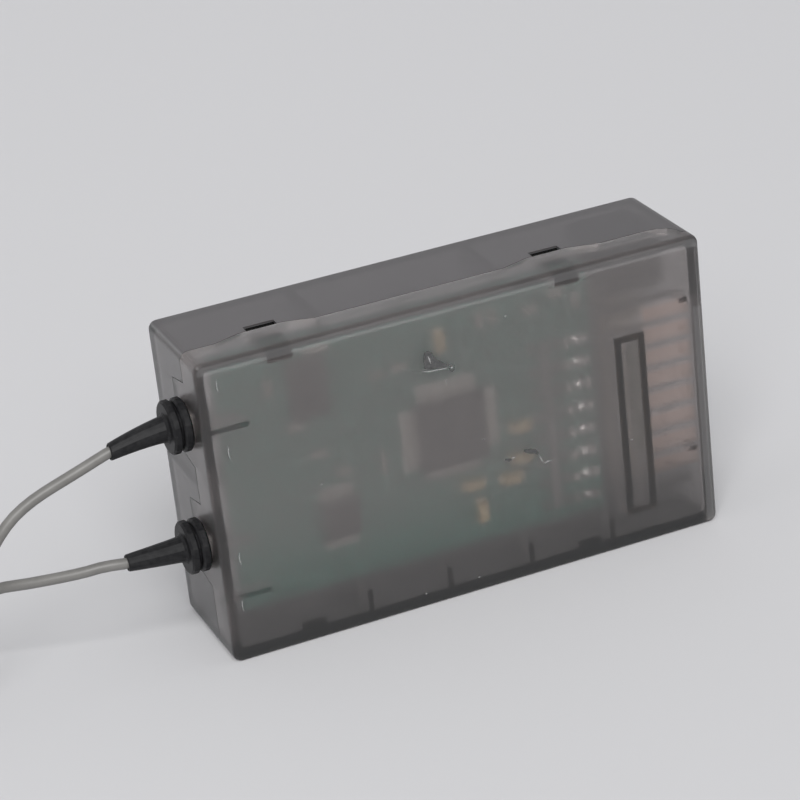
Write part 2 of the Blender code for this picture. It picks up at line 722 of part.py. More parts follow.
def pin_mesh(layer, material):
    """One right-angle pin of a layer with its solder fillet, at the height of the floor."""
    half = PIN_WIDTH / 2
    tip_half = PIN_TIP_WIDTH / 2
    x = tail_place(layer)
    y = layer_depth(layer)
    end = FRONT + BOARD_FRONT - PIN_TAIL_STAND
    outline = [
        (PIN_TIP, y - tip_half),
        (PIN_TIP - PIN_CHAMFER, y - half),
        (x + half, y - half),
        (x + half, end + PIN_CHAMFER / 2),
        (x + tip_half, end),
        (x - tip_half, end),
        (x - half, end + PIN_CHAMFER / 2),
        (x - half, y),
        (x, y + half),
        (PIN_TIP - PIN_CHAMFER, y + half),
        (PIN_TIP, y + tip_half),
    ]
    pin = add_object("pin", extruded(outline, "Z", -half, half), material)
    if layer == 0:
        dome = solder_dome(JOINT_LENGTH, JOINT_WIDTH, JOINT_HEIGHT)
    else:
        dome = solder_dome(SMALL_JOINT_WIDTH, SMALL_JOINT_WIDTH, SMALL_JOINT_HEIGHT)
    bmesh.ops.translate(dome, verts=dome.verts, vec=(x, FRONT + BOARD_FRONT - SEAT_GAP, 0))
    add(pin, dome)
    smooth(pin)
    mesh = pin.data
    bpy.data.objects.remove(pin, do_unlink=True)
    return mesh


def header_pins(material):
    """Signal, power and ground pins. The signal layer lies nearest the board."""
    for layer, use in enumerate(("signal", "power", "ground")):
        mesh = pin_mesh(layer, material)
        for row in range(ROWS):
            pin = bpy.data.objects.new(f"pin_{use}_{row + 1}", mesh)
            pin.location.z = row_height(row)
            bpy.context.collection.objects.link(pin)


def ground_bus(material):
    """The tinned copper strip between the second and third columns of joints."""
    width = PIN_PITCH - SMALL_JOINT_WIDTH - 2 * BUS_CLEARANCE
    middle = (tail_place(1) + tail_place(2)) / 2
    y1 = FRONT + BOARD_FRONT - SEAT_GAP
    z0 = row_height(0) - SMALL_JOINT_WIDTH / 2
    z1 = row_height(ROWS - 1) + SMALL_JOINT_WIDTH / 2
    outline = rounded(middle - width / 2, middle + width / 2, z0, z1, width / 4, 2)
    add_object("ground_bus", extruded(outline, "Y", y1 - BUS_THICKNESS, y1), material)


def main_board(material):
    """The printed board, notched at the left for the leads and drilled for the header's tails."""
    half = SEAM_BOSS_WIDTH / 2
    notch = BOARD_LEFT + BOARD_NOTCH_DEPTH
    outline = [(BOARD_RIGHT, BOARD_BOTTOM), (BOARD_RIGHT, BOARD_TOP), (BOARD_LEFT, BOARD_TOP)]
    reach = LEAD_DIAMETER / 2 + BOARD_NOTCH_GAP
    for height in sorted(BOOT_HEIGHTS.values(), reverse=True):
        outline += [
            (BOARD_LEFT, height + reach),
            (notch, height + reach),
            (notch, height - reach),
            (BOARD_LEFT, height - reach),
        ]
    outline.append((BOARD_LEFT, BOARD_BOTTOM))
    y0 = FRONT + BOARD_FRONT
    y1 = FRONT + BOARD_BACK
    board = add_object("main_board", extruded(outline, "Y", y0, y1), material)
    holes = bmesh.new()
    for row in range(ROWS):
        for layer in range(LAYERS):
            hole = circle(tail_place(layer), row_height(row), PIN_HOLE_DIAMETER / 2, 8)
            extend(holes, hole, "Y", y0 - half, y1 + half)
    cut(board, holes)
    return board


def zone_limits(zone):
    """Left, right, bottom and top of a part of the board that is free for small parts."""
    joints = tail_place(LAYERS - 1) - SMALL_JOINT_WIDTH / 2 - ZONE_MARGIN
    if zone == "front":
        return BOARD_LEFT, joints, BOARD_BOTTOM, BOARD_TOP
    if zone == "below chip":
        up = MICROCONTROLLER_SIZE[1]
        chip_bottom = BOARD_BOTTOM + MICROCONTROLLER_PLACE[1] * (BOARD_HEIGHT - up)
        return BOARD_LEFT, joints, BOARD_BOTTOM, chip_bottom - LEAD_REACH - CAPACITOR_TO_LEADS_GAP
    if zone == "above rows":
        return tail_place(LAYERS - 1) - PIN_PITCH / 2, BOARD_RIGHT, CELL_TOP, BOARD_TOP
    return LEFT + LEAD_INSIDE + LEAD_DIAMETER / 2, joints, BOARD_BOTTOM, BOARD_TOP


def centre_on_board(along, up, place, zone):
    """The centre of a part of that size, from its place as shares of the zone's free room."""
    left, right, bottom, top = zone_limits(zone)
    x = left + along / 2 + place[0] * (right - left - along)
    z = bottom + up / 2 + place[1] * (top - bottom - up)
    return x, z


def corners_on_board(size, place, upright=False, zone="front"):
    """Corner ranges of a part on the board: along, depth and up."""
    along, up, height = size
    if upright:
        along, up = up, along
    x, z = centre_on_board(along, up, place, zone)
    if zone == "rear":
        y0 = FRONT + BOARD_BACK + SEAT_GAP
        y1 = y0 + height
    else:
        y1 = FRONT + BOARD_FRONT - SEAT_GAP
        y0 = y1 - height
    return x - along / 2, x + along / 2, y0, y1, z - up / 2, z + up / 2


def chip_body(name, size, place, material):
    x0, x1, y0, y1, z0, z1 = corners_on_board(size, place)
    stand = LEAD_THICKNESS
    bm = block(x0, x1, y0, y1 - stand, z0, z1)
    upper = [edge for edge in bm.edges if all(v.co.y < y0 + SEAM_GAP for v in edge.verts)]
    bmesh.ops.bevel(bm, geom=upper, offset=CHIP_BEVEL, segments=1, affect="EDGES")
    return add_object(name, bm, material)


def gull_wings(bm, size, place, count, pitch, side):
    """Bent leads along one side of a chip: 0 right, 1 top, 2 left, 3 bottom."""
    along, up, height = size
    x, z = centre_on_board(along, up, place, "front")
    base = FRONT + BOARD_FRONT - SEAT_GAP
    body = (along if side % 2 == 0 else up) / 2
    middle = base - height / 2
    t = LEAD_THICKNESS
    reach = LEAD_REACH
    outline = [
        (body - LEAD_FOOT / 2, middle - t / 2),
        (body + reach - LEAD_FOOT, middle - t / 2),
        (body + reach - LEAD_FOOT + t, base - t),
        (body + reach, base - t),
        (body + reach, base),
        (body + reach - LEAD_FOOT, base),
        (body + reach - LEAD_FOOT - t, middle + t / 2),
        (body - LEAD_FOOT / 2, middle + t / 2),
    ]
    half = pitch * LEAD_WIDTH_SHARE / 2
    turn = Matrix.Rotation(math.radians(-90 * side), 4, "Y")
    for index in range(count):
        centre = (index - (count - 1) / 2) * pitch
        lead = bmesh.new()
        extend(lead, outline, "Z", centre - half, centre + half)
        bmesh.ops.transform(lead, matrix=turn, verts=lead.verts)
        bmesh.ops.translate(lead, verts=lead.verts, vec=(x, 0, z))
        mesh = bpy.data.meshes.new("lead")
        lead.to_mesh(mesh)
        lead.free()
        bm.from_mesh(mesh)
        bpy.data.meshes.remove(mesh)


def leaded_chip(name, size, place, count, pitch, sides, material):
    chip = chip_body(name, size, place, material)
    leads = bmesh.new()
    for side in sides:
        gull_wings(leads, size, place, count, pitch, side)
    add(chip, leads)
    return chip


def terminal_chip(name, size, place, upright, material, zone="front"):
    """A small two-terminal part: a body with slightly thicker tinned ends."""
    x0, x1, y0, y1, z0, z1 = corners_on_board(size, place, upright, zone)
    s = TERMINAL_STEP
    t = TERMINAL_LENGTH
    if upright:
        a0, a1, b0, b1 = z0, z1, x0, x1
    else:
        a0, a1, b0, b1 = x0, x1, z0, z1
    outline = [
        (a0, b0),
        (a0 + t, b0),
        (a0 + t, b0 + s),
        (a1 - t, b0 + s),
        (a1 - t, b0),
        (a1, b0),
        (a1, b1),
        (a1 - t, b1),
        (a1 - t, b1 - s),
        (a0 + t, b1 - s),
        (a0 + t, b1),
        (a0, b1),
    ]
    if upright:
        outline = [(b, a) for a, b in outline]
    return add_object(name, extruded(outline, "Y", y0, y1), material)


def rear_parts(materials):
    """The supply capacitor, regulator and crystal on the back of the board."""
    diameter = SUPPLY_CAPACITOR_DIAMETER
    x, z = centre_on_board(diameter, diameter, SUPPLY_CAPACITOR_PLACE, "rear")
    base = FRONT + BOARD_BACK + SEAT_GAP
    radius = diameter / 2
    top = SUPPLY_CAPACITOR_HEIGHT
    foot = SUPPLY_CAPACITOR_BASE
    waist = radius - CHIP_BEVEL
    profile = [
        (0, 0),
        (radius, 0),
        (radius, foot),
        (waist, foot + CHIP_BEVEL),
        (radius, foot + 2 * CHIP_BEVEL),
        (radius, top - CHIP_BEVEL),
        (waist, top),
        (0, top),
    ]
    can = turned(profile, 24)
    bmesh.ops.transform(can, matrix=Matrix.Rotation(math.radians(-90), 4, "X"), verts=can.verts)
    bmesh.ops.translate(can, verts=can.verts, vec=(x, base, z))
    add_object("supply_capacitor", can, materials["aluminium"])

    x0, x1, y0, y1, z0, z1 = corners_on_board(REGULATOR_SIZE, REGULATOR_PLACE, zone="rear")
    regulator = add_object("voltage_regulator", block(x0, x1, y0, y1, z0, z1), materials["epoxy"])
    tab_width, tab_reach, tab_thickness = REGULATOR_TAB
    middle = (x0 + x1) / 2
    tab = block(
        middle - tab_width / 2,
        middle + tab_width / 2,
        y0 + SEAT_GAP,
        y0 + SEAT_GAP + tab_thickness,
        z1 - tab_reach / 2,
        z1 + tab_reach,
    )
    add(regulator, tab)

    x0, x1, y0, y1, z0, z1 = corners_on_board(CRYSTAL_SIZE, CRYSTAL_PLACE, zone="rear")
    outline = rounded(x0, x1, z0, z1, CRYSTAL_RADIUS, 3)
    add_object("crystal", extruded(outline, "Y", y0, y1), materials["aluminium"])


def sag_at(distance, sag):
    """How far a boot's axis has dropped at a distance past its flanges."""
    return -sag * (distance / SLEEVE_LENGTH) ** 1.5 if distance > 0 else 0.0


def boot_profile():
    """Radius and distance outwards from the left face, around the closed section of the boot."""
    flange = BOOT_FLANGE_DIAMETER / 2
    neck = BOOT_NECK_DIAMETER / 2
    bore = BOOT_BORE_DIAMETER / 2
    groove = BOOT_GROOVE_DIAMETER / 2
    inner = BOOT_INNER_DIAMETER / 2
    r = BOOT_ROUNDING
    wall_inside = -WALL - SEAT_GAP
    inner_end = wall_inside - BOOT_INNER_THICKNESS
    start = SEAT_GAP
    middle = start + BOOT_FLANGE_THICKNESS
    second = middle + BOOT_GROOVE_WIDTH
    outer = second + BOOT_FLANGE_THICKNESS
    end = outer + SLEEVE_LENGTH
    base = SLEEVE_BASE_DIAMETER / 2
    tip = SLEEVE_END_DIAMETER / 2
    points = [
        (bore, inner_end),
        (inner - r, inner_end),
        (inner, inner_end + r),
        (inner, wall_inside),
        (neck, wall_inside),
        (neck, start),
        (flange - r, start),
        (flange, start + r),
        (flange, middle - r),
        (flange - r, middle),
        (groove, middle),
        (groove, second),
        (flange - r, second),
        (flange, second + r),
        (flange, outer - r),
        (flange - r, outer),
        (base + SLEEVE_FILLET, outer),
        (base, outer + SLEEVE_FILLET),
    ]
    steps = 6
    for step in range(1, steps):
        share = step / steps
        points.append((base + (tip - base) * share, outer + (end - outer) * share))
    points += [(tip, end - r / 2), (tip - r / 3, end), (bore, end)]
    for step in range(1, steps):
        points.append((bore, end + (outer - end) * step / steps))
    return points


def boots(material):
    """The two rubber boots: flanges on both sides of the wall and a tapered sleeve that sags."""
    for name, height in BOOT_HEIGHTS.items():
        bm = turned(boot_profile(), 20, closed=True)
        outwards = Matrix.Rotation(math.radians(-90), 4, "Y")
        bmesh.ops.transform(bm, matrix=outwards, verts=bm.verts)
        for vertex in bm.verts:
            distance = SLEEVE_START - (LEFT + vertex.co.x)
            vertex.co.z += sag_at(distance, BOOT_SAG[name])
        bmesh.ops.translate(bm, verts=bm.verts, vec=(LEFT, FRONT + BOOT_DEPTH, height))
        add_object(f"{name}_boot", bm, material)


def lead_route(name):
    """The lead's own points, from the board through its boot to where its coil begins."""
    axis = FRONT + BOOT_DEPTH
    height = BOOT_HEIGHTS[name]
    inside_depth = FRONT + BOARD_BACK + SEAT_GAP + LEAD_DIAMETER / 2
    inner = LEFT + LEAD_INSIDE
    points = [
        (inner, inside_depth, height),
        (BOARD_LEFT + BOARD_NOTCH_DEPTH - LEAD_DIAMETER / 2, inside_depth, height),
        (LEFT + WALL + BOOT_INNER_THICKNESS + LEAD_DIAMETER / 2, axis, height),
        (LEFT, axis, height),
        (SLEEVE_START, axis, height),
    ]
    for step in (0.35, 0.7, 1.0):
        distance = step * SLEEVE_LENGTH
        points.append((SLEEVE_START - distance, axis, height + sag_at(distance, BOOT_SAG[name])))
    return [Vector(point) for point in points] + free_points(name)


def free_points(name):
    """The free stretch, from the boot's end down to where the lead joins its coil."""
    side = COIL_CENTRE.y + (COIL_RADIUS + COIL_HALF_WIDTH) * (1 if name == "lower" else -1)
    reach = math.sqrt(COIL_OUTER**2 - (abs(side - COIL_CENTRE.y) - LEAD_DIAMETER / 2) ** 2)
    level = coil_base(name) + LEAD_DIAMETER / 2
    if name == "upper":
        level += COIL_TURN_SPACING
    start = Vector((SLEEVE_END, FRONT + BOOT_DEPTH, BOOT_HEIGHTS[name] - BOOT_SAG[name]))
    end = Vector((COIL_CENTRE.x + reach + TURN_CLEARANCE, side, level))
    way = end - start
    return [start + way * Vector(shares) for shares in FREE_POINTS[name]] + [end]


def coil_base(name):
    """The height of a coil's underside: the upper lead's coil lies on the lower lead's."""
    return 0.0 if name == "lower" else COIL_HEIGHT + SEAT_GAP


def smooth_line(points, spacing):
    """Read a Catmull-Rom curve through the points at even steps."""
    fine = []
    padded = [2 * points[0] - points[1], *points, 2 * points[-1] - points[-2]]
    for before, a, b, after in zip(padded, padded[1:], padded[2:], padded[3:]):
        for step in range(24):
            t = step / 24
            fine.append(
                0.5
                * (
                    2 * a
                    + (b - before) * t
                    + (2 * before - 5 * a + 4 * b - after) * t**2
                    + (3 * a - before - 3 * b + after) * t**3
                )
            )
    fine.append(points[-1].copy())
    total = sum((b - a).length for a, b in zip(fine, fine[1:]))
    count = max(2, round(total / spacing))
    line = [fine[0]]
    travelled = 0.0
    target = total / count
    for a, b in zip(fine, fine[1:]):
        travelled += (b - a).length
        if travelled >= target * len(line) and len(line) < count:
            line.append(b)
    line.append(fine[-1])
    return line


def tube(name, line, diameter, material):
    """A round wire along a line: an open poly curve with a bevel and filled caps."""
    curve = bpy.data.curves.new(name, "CURVE")
    curve.dimensions = "3D"
    curve.bevel_depth = diameter / 2
    curve.bevel_resolution = 2
    curve.use_fill_caps = True
    spline = curve.splines.new("POLY")
    spline.points.add(len(line) - 1)
    for point, place in zip(spline.points, line):
        point.co = (*place, 1.0)
    curve.materials.append(material)
    item = bpy.data.objects.new(name, curve)
    bpy.context.collection.objects.link(item)
    return item


def antennas(materials):
    """Each antenna: the coaxial lead, its stored coil as one ring, and the thin active tip."""
    for name in ("upper", "lower"):
        line = smooth_line(lead_route(name), LEAD_POINT_SPACING)
        tube(f"antenna_lead_{name}", line, LEAD_DIAMETER, materials["coax"])
        ring = rounded(COIL_INNER, COIL_OUTER, 0, COIL_HEIGHT, LEAD_DIAMETER / 2, 2)
        bm = turned(ring, 32, closed=True)
        place = (*COIL_CENTRE, coil_base(name))
        bmesh.ops.translate(bm, verts=bm.verts, vec=place)
        add_object(f"antenna_coil_{name}", bm, materials["coax"])
        start = line[-1].copy()
        start.x = 2 * COIL_CENTRE.x - start.x
        if name == "lower":
            start.z += COIL_TURN_SPACING
        else:
            start.z -= COIL_TURN_SPACING
        start.z -= (LEAD_DIAMETER - TIP_DIAMETER) / 2
        end = Vector((start.x - TIP_LENGTH, start.y, TIP_DIAMETER / 2 + SEAT_GAP))
        middle = start.lerp(end, 0.4)
        middle.z = (start.z + end.z) / 2 - (start.z - end.z) * 0.2
        tip_line = smooth_line([start, middle, end], 3 * TIP_DIAMETER)
        tube(f"antenna_tip_{name}", tip_line, TIP_DIAMETER, materials["tip"])


def main():
    clear_scene()
    materials = {
        "smoke": make_material("smoke_plastic", (0.13, 0.125, 0.13), 0.45, alpha=0.75),
        "board": make_material("green_laminate", (0.03, 0.16, 0.10), 0.4),
        "epoxy": make_material("black_epoxy", (0.025, 0.024, 0.025), 0.5),
        "gold": make_material("gold_plate", (0.80, 0.60, 0.28), 0.28, 1.0),
        "tin": make_material("tinned_copper", (0.72, 0.72, 0.70), 0.3, 1.0),
        "ceramic": make_material("tan_ceramic", (0.55, 0.38, 0.18), 0.5),
        "pale": make_material("pale_terminals", (0.55, 0.54, 0.50), 0.4),
        "aluminium": make_material("aluminium_can", (0.75, 0.75, 0.76), 0.35, 1.0),
        "rubber": make_material("black_rubber", (0.022, 0.022, 0.024), 0.6),
        "coax": make_material("grey_coax", (0.33, 0.325, 0.30), 0.5),
        "tip": make_material("clear_insulation", (0.62, 0.60, 0.55), 0.35),
    }
    front_cover(materials["smoke"])
    rear_case(materials["smoke"])
    main_board(materials["board"])
    header_block(materials["epoxy"])
    header_pins(materials["gold"])
    ground_bus(materials["tin"])
    leaded_chip(
        "microcontroller",
        MICROCONTROLLER_SIZE,
        MICROCONTROLLER_PLACE,
        MICROCONTROLLER_LEADS,
        MICROCONTROLLER_LEAD_PITCH,
        (0, 1, 2, 3),
        materials["epoxy"],
    )
    leaded_chip(
        "memory_chip",
        MEMORY_CHIP_SIZE,
        MEMORY_CHIP_PLACE,
        MEMORY_CHIP_LEADS,
        MEMORY_CHIP_LEAD_PITCH,
        (1, 3),
        materials["epoxy"],
    )
    chip_body("radio_chip", RADIO_CHIP_SIZE, RADIO_CHIP_PLACE, materials["epoxy"])
    tan = materials["ceramic"]
    for number, (x, z, upright) in enumerate(CAPACITOR_PLACES, 1):
        terminal_chip(f"capacitor_{number}", CAPACITOR_SIZE, (x, z), upright, tan)
    for number, (x, z, upright) in enumerate(LOW_CAPACITOR_PLACES, len(CAPACITOR_PLACES) + 1):
        name = f"capacitor_{number}"
        terminal_chip(name, CAPACITOR_SIZE, (x, z), upright, tan, "below chip")
    pale = materials["pale"]
    for number, (x, z, upright) in enumerate(RESISTOR_PLACES, 1):
        terminal_chip(f"resistor_{number}", RESISTOR_SIZE, (x, z), upright, pale)
    for number, (x, z, upright) in enumerate(TOP_RESISTOR_PLACES, len(RESISTOR_PLACES) + 1):
        name = f"resistor_{number}"
        terminal_chip(name, RESISTOR_SIZE, (x, z), upright, pale, "above rows")
    rear_parts(materials)
    boots(materials["rubber"])
    antennas(materials)


main()
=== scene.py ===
# %% [markdown]
# # Dressing a translucent radio control receiver
#
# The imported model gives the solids: a smoke-tinted housing in two halves, a populated board, a
# pin header, two rubber boots and two antenna leads. This lesson turns them into the object of
# the photograph. The main point is the plastic: it is clear enough to show the board, but its
# satin faces blur everything behind them, the more the deeper it lies.
#
# Blender works in metres in the row frame, and `mm` makes small numbers readable. A place that
# is given in millimetres is counted from the housing's left end, from its front and the floor.

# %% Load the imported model
import math

import bmesh
import bpy
from mathutils import Matrix, Vector


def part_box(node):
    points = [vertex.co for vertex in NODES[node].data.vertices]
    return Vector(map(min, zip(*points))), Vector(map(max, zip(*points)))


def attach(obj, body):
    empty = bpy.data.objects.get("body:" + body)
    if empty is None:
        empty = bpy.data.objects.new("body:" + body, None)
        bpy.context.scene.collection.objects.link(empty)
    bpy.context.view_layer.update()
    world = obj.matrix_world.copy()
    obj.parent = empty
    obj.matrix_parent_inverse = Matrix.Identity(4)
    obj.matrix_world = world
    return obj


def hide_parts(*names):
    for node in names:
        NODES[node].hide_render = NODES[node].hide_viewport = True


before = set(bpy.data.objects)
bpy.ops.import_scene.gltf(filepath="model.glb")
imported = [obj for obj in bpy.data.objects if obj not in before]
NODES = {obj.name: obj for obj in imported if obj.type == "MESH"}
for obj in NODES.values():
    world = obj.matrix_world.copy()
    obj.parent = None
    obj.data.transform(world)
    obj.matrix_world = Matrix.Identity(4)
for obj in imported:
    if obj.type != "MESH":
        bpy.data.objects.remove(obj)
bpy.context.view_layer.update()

mm = 0.001
CASE_LENGTH = 55.0
CASE_HEIGHT = 32.8


def corners_of(node):
    """The lowest and the highest corner of a solid's box."""
    return [Vector(corner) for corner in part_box(node)]


case_low = corners_of("front_cover")[0]
case_high = corners_of("rear_case")[1]
LEFT = case_low.x
FRONT = case_low.y
print("nodes:", len(NODES))
print("case from", [round(v / mm, 2) for v in case_low], "to", [round(v / mm, 2) for v in case_high])

# %% [markdown]
# ## The camera
#
# A photograph fixes where its camera stood. The place could be found by trial, but the housing's
# outline and its visible corners are enough to solve it: about 30 cm away, looking 24 degrees
# down and rolled by some 6 degrees. The three vectors below are the camera's own axes. As the
# columns of a matrix they turn it in one step, with no angles to mix up.

# %% Place the camera
scene = bpy.context.scene
camera_data = bpy.data.cameras.new("photo_camera")
camera_data.lens = 135.8425
camera_data.sensor_width = 36.0
camera_data.clip_start = 0.01
camera = bpy.data.objects.new("photo_camera", camera_data)
scene.collection.objects.link(camera)
camera_place = Vector((-0.102204, -0.26305, 0.147918))
camera_right = Vector((0.914401, -0.391265, -0.103841))
camera_up = Vector((0.250572, 0.345593, 0.904312))
camera_back = Vector((-0.317938, -0.852923, 0.41405))
turn = Matrix((camera_right, camera_up, camera_back)).transposed()
camera.matrix_world = Matrix.Translation(camera_place) @ turn.to_4x4()
scene.camera = camera
print("camera at", [round(v, 4) for v in camera.location], "lens", camera_data.lens)

# %% [markdown]
# ## The antenna leads
#
# Each antenna is a thin coaxial lead, one continuous line: from its solder joint on the board
# out through the boot, down to the floor, three turns of stored coil in two layers, and on to
# the active tip. It could be a row of straight tubes, but a real lead has no corners. So the
# measures come first, then a line through them, and last a tube along that line.

# %% Measures of the leads
LEAD = 1.15 * mm
BOOT_AXIS = FRONT + 4.9 * mm
BOARD_BACK = FRONT + 4.55 * mm
BOOT_HEIGHT = {"upper": 0.7625 * CASE_HEIGHT * mm, "lower": 0.3558 * CASE_HEIGHT * mm}
BOOT_SAG = {"upper": 0.9 * mm, "lower": -0.15 * mm}
SLEEVE_START = LEFT - 2.2 * mm
SLEEVE_LENGTH = 6.0 * mm
COIL_CENTRE = Vector((LEFT - 36.5 * mm, 2.35 * mm))
COIL_RADIUS = 5.75 * mm
COIL_PITCH = 1.2 * mm
LAYER_TURNS = 1.5
OUTER_RADIUS = COIL_RADIUS + COIL_PITCH * LAYER_TURNS / 2
for name, height in BOOT_HEIGHT.items():
    print(f"{name} boot {height / mm:.2f} mm above the floor")

# %% [markdown]
# ## A smooth line through a few points
#
# Blender's own curves can bend smoothly too, but the line they make stays hidden inside them.
# A Catmull-Rom curve passes through every point it is given and is short to compute. The same line
# can then be measured and drawn as a tube.

# %% Smooth line
FINE_STEPS = 24


def smooth_line(points, spacing):
    """Read a Catmull-Rom curve through the points at even steps."""
    fine = []
    padded = [2 * points[0] - points[1], *points, 2 * points[-1] - points[-2]]
    for before, a, b, after in zip(padded, padded[1:], padded[2:], padded[3:]):
        for step in range(FINE_STEPS):
            t = step / FINE_STEPS
            fine.append(
                0.5
                * (
                    2 * a
                    + (b - before) * t
                    + (2 * before - 5 * a + 4 * b - after) * t**2
                    + (3 * a - before - 3 * b + after) * t**3
                )
            )
    fine.append(points[-1].copy())
    total = length_of(fine)
    count = max(2, round(total / spacing))
    line = [fine[0]]
    travelled = 0.0
    for a, b in zip(fine, fine[1:]):
        travelled += (b - a).length
        if travelled >= total / count * len(line) and len(line) < count:
            line.append(b)
    line.append(fine[-1])
    return line


def length_of(line):
    return sum((b - a).length for a, b in zip(line, line[1:]))


sample = smooth_line([Vector((0, 0)), Vector((1, 1)), Vector((2, 0))], 0.5)
print(f"a bow over three points: {len(sample)} points, length {length_of(sample):.2f}")

# %% [markdown]
# ## The free stretch
#
# Between the boot and the coil the lead hangs in the air. A simulated cord would fall in its own
# way, not in the photograph's. So the points are a given list, fitted to the photograph. Each row is
# a share of the way along X, Y and Z. The model's own tube was fitted less closely and lies a few
# millimetres beside this line.

# %% Free stretch
FREE_POINTS = {
    "upper": (
        (0.108, -0.111, 0.051),
        (0.191, -0.086, 0.083),
        (0.286, -0.062, 0.12),
        (0.357, -0.037, 0.154),
        (0.428, 0.012, 0.2),
        (0.494, 0.062, 0.267),
        (0.56, 0.136, 0.36),
        (0.627, 0.235, 0.486),
        (0.689, 0.358, 0.63),
        (0.756, 0.531, 0.775),
        (0.826, 0.728, 0.895),
        (0.909, 0.877, 0.961),
    ),
    "lower": (
        (0.095, 0.033, -0.01),
        (0.179, 0.082, 0.014),
        (0.274, 0.157, 0.037),
        (0.394, 0.277, 0.07),
        (0.511, 0.41, 0.105),
        (0.619, 0.548, 0.205),
        (0.71, 0.672, 0.37),
        (0.785, 0.774, 0.585),
        (0.851, 0.867, 0.787),
        (0.926, 0.956, 0.93),
    ),
}


def sag_at(distance, sag):
    return -sag * (distance / SLEEVE_LENGTH) ** 1.5 if distance > 0 else 0.0


def coil_level(name, layer):
    """Height of the wire's middle: the lead comes in on layer 0 and leaves on layer 1."""
    if name == "lower":
        return LEAD / 2 + layer * COIL_PITCH
    return 2 * LEAD + COIL_PITCH + 0.1 * mm + LEAD / 2 + (COIL_PITCH - LEAD) - layer * COIL_PITCH


def free_route(name):
    """The points of one lead from the board, through its boot, to where the coil begins."""
    height = BOOT_HEIGHT[name]
    inside = BOARD_BACK + 0.1 * mm + LEAD / 2
    points = [
        Vector((LEFT + 8.4 * mm, inside, height)),
        Vector((LEFT + 4.8 * mm - LEAD / 2, inside, height)),
        Vector((LEFT + 2.0 * mm + LEAD / 2, BOOT_AXIS, height)),
        Vector((LEFT, BOOT_AXIS, height)),
        Vector((SLEEVE_START, BOOT_AXIS, height)),
    ]
    for share in (0.35, 0.7, 1.0):
        distance = share * SLEEVE_LENGTH
        drop = sag_at(distance, BOOT_SAG[name])
        points.append(Vector((SLEEVE_START - distance, BOOT_AXIS, height + drop)))
    side = COIL_CENTRE.y + (OUTER_RADIUS if name == "lower" else -OUTER_RADIUS)
    reach = math.sqrt((OUTER_RADIUS + LEAD / 2) ** 2 - (OUTER_RADIUS - LEAD / 2) ** 2)
    start = points[-1]
    end = Vector((COIL_CENTRE.x + reach + 0.3 * mm, side, coil_level(name, 0)))
    way = end - start
    points += [start + way * Vector(shares) for shares in FREE_POINTS[name]]
    points.append(end)
    return points


for name in FREE_POINTS:
    print(f"{name} lead: {length_of(free_route(name)) / mm:.1f} mm from the board to the coil")

# %% [markdown]
# ## The stored coil
#
# What is left of a lead is rolled up beside the receiver. One flat spiral would end in its own
# middle. Two layers don't: the wire winds inwards on one, climbs, and winds outwards on the
# other. A short formula for the radius and the height at each step is enough for that.

# %% Coil
COIL_STEPS = 96


def coil_points(name):
    """Three turns: inwards on one layer, then outwards on the other."""
    points = []
    turns = 2 * LAYER_TURNS
    sense = 1 if name == "lower" else -1
    first, second = coil_level(name, 0), coil_level(name, 1)
    for step in range(COIL_STEPS + 1):
        t = turns * step / COIL_STEPS
        inward = t if t <= LAYER_TURNS else turns - t
        radius = OUTER_RADIUS - COIL_PITCH * inward
        climb = min(max((t - LAYER_TURNS) / 0.5 + 0.5, 0.0), 1.0)
        climb = climb * climb * (3 - 2 * climb)
        z = first + (second - first) * climb
        angle = sense * (math.pi / 2 + 2 * math.pi * t)
        x = COIL_CENTRE.x + radius * math.cos(angle)
        y = COIL_CENTRE.y + radius * math.sin(angle)
        points.append(Vector((x, y, z)))
    return points


def lead_line(name):
    """The whole lead: the free stretch, the coil and the short tail that meets the tip."""
    line = smooth_line(free_route(name), 1.2 * mm)
    coil = coil_points(name)
    tail = coil[-1].copy()
    tail.x = 2 * COIL_CENTRE.x - line[-1].x
    straight_in = line[-1].lerp(coil[0], 0.5)
    straight_out = coil[-1].lerp(tail, 0.5)
    return line + [straight_in] + coil + [straight_out, tail]


print(f"a coil holds {length_of(coil_points('lower')) / mm:.1f} mm of lead")

# %% [markdown]
# ## The tube of a lead
#
# A curve with a bevel is the quick way to a round wire. It becomes a mesh in the end, because a
# curve's box also counts each point's radius of a metre.
# The tube stands for the model's lead and coil, which it replaces.

# %% Tubes
LEADS = {}
for name in ("upper", "lower"):
    line = lead_line(name)
    curve = bpy.data.curves.new(f"coax_{name}", "CURVE")
    curve.dimensions = "3D"
    curve.bevel_depth = LEAD / 2
    curve.bevel_resolution = 4
    curve.use_fill_caps = True
    spline = curve.splines.new("POLY")
    spline.points.add(len(line) - 1)
    for point, place in zip(spline.points, line):
        point.co = (*place, 1.0)
    spline.use_smooth = True
    lead = bpy.data.objects.new(f"coax_{name}", curve)
    scene.collection.objects.link(lead)
    bpy.ops.object.select_all(action="DESELECT")
    lead.select_set(True)
    bpy.context.view_layer.objects.active = lead
    bpy.ops.object.convert(target="MESH")
    lead = bpy.context.object
    LEADS[name] = lead
    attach(lead, "root")
    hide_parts(f"antenna_lead_{name}", f"antenna_coil_{name}")
    print(f"coax_{name}: {len(line)} points, {length_of(line) / mm:.1f} mm")

# %% [markdown]
# ## Materials
#
# A material is a small network of nodes. It could be drawn in the shader editor, but written as
# code it can be read and repeated. Patterns use Object coordinates, which equal places in the
# row frame here, so a colour can follow the part's own measurements. These first helpers start
# a material, add a node to it, and give the result to a solid of the model.


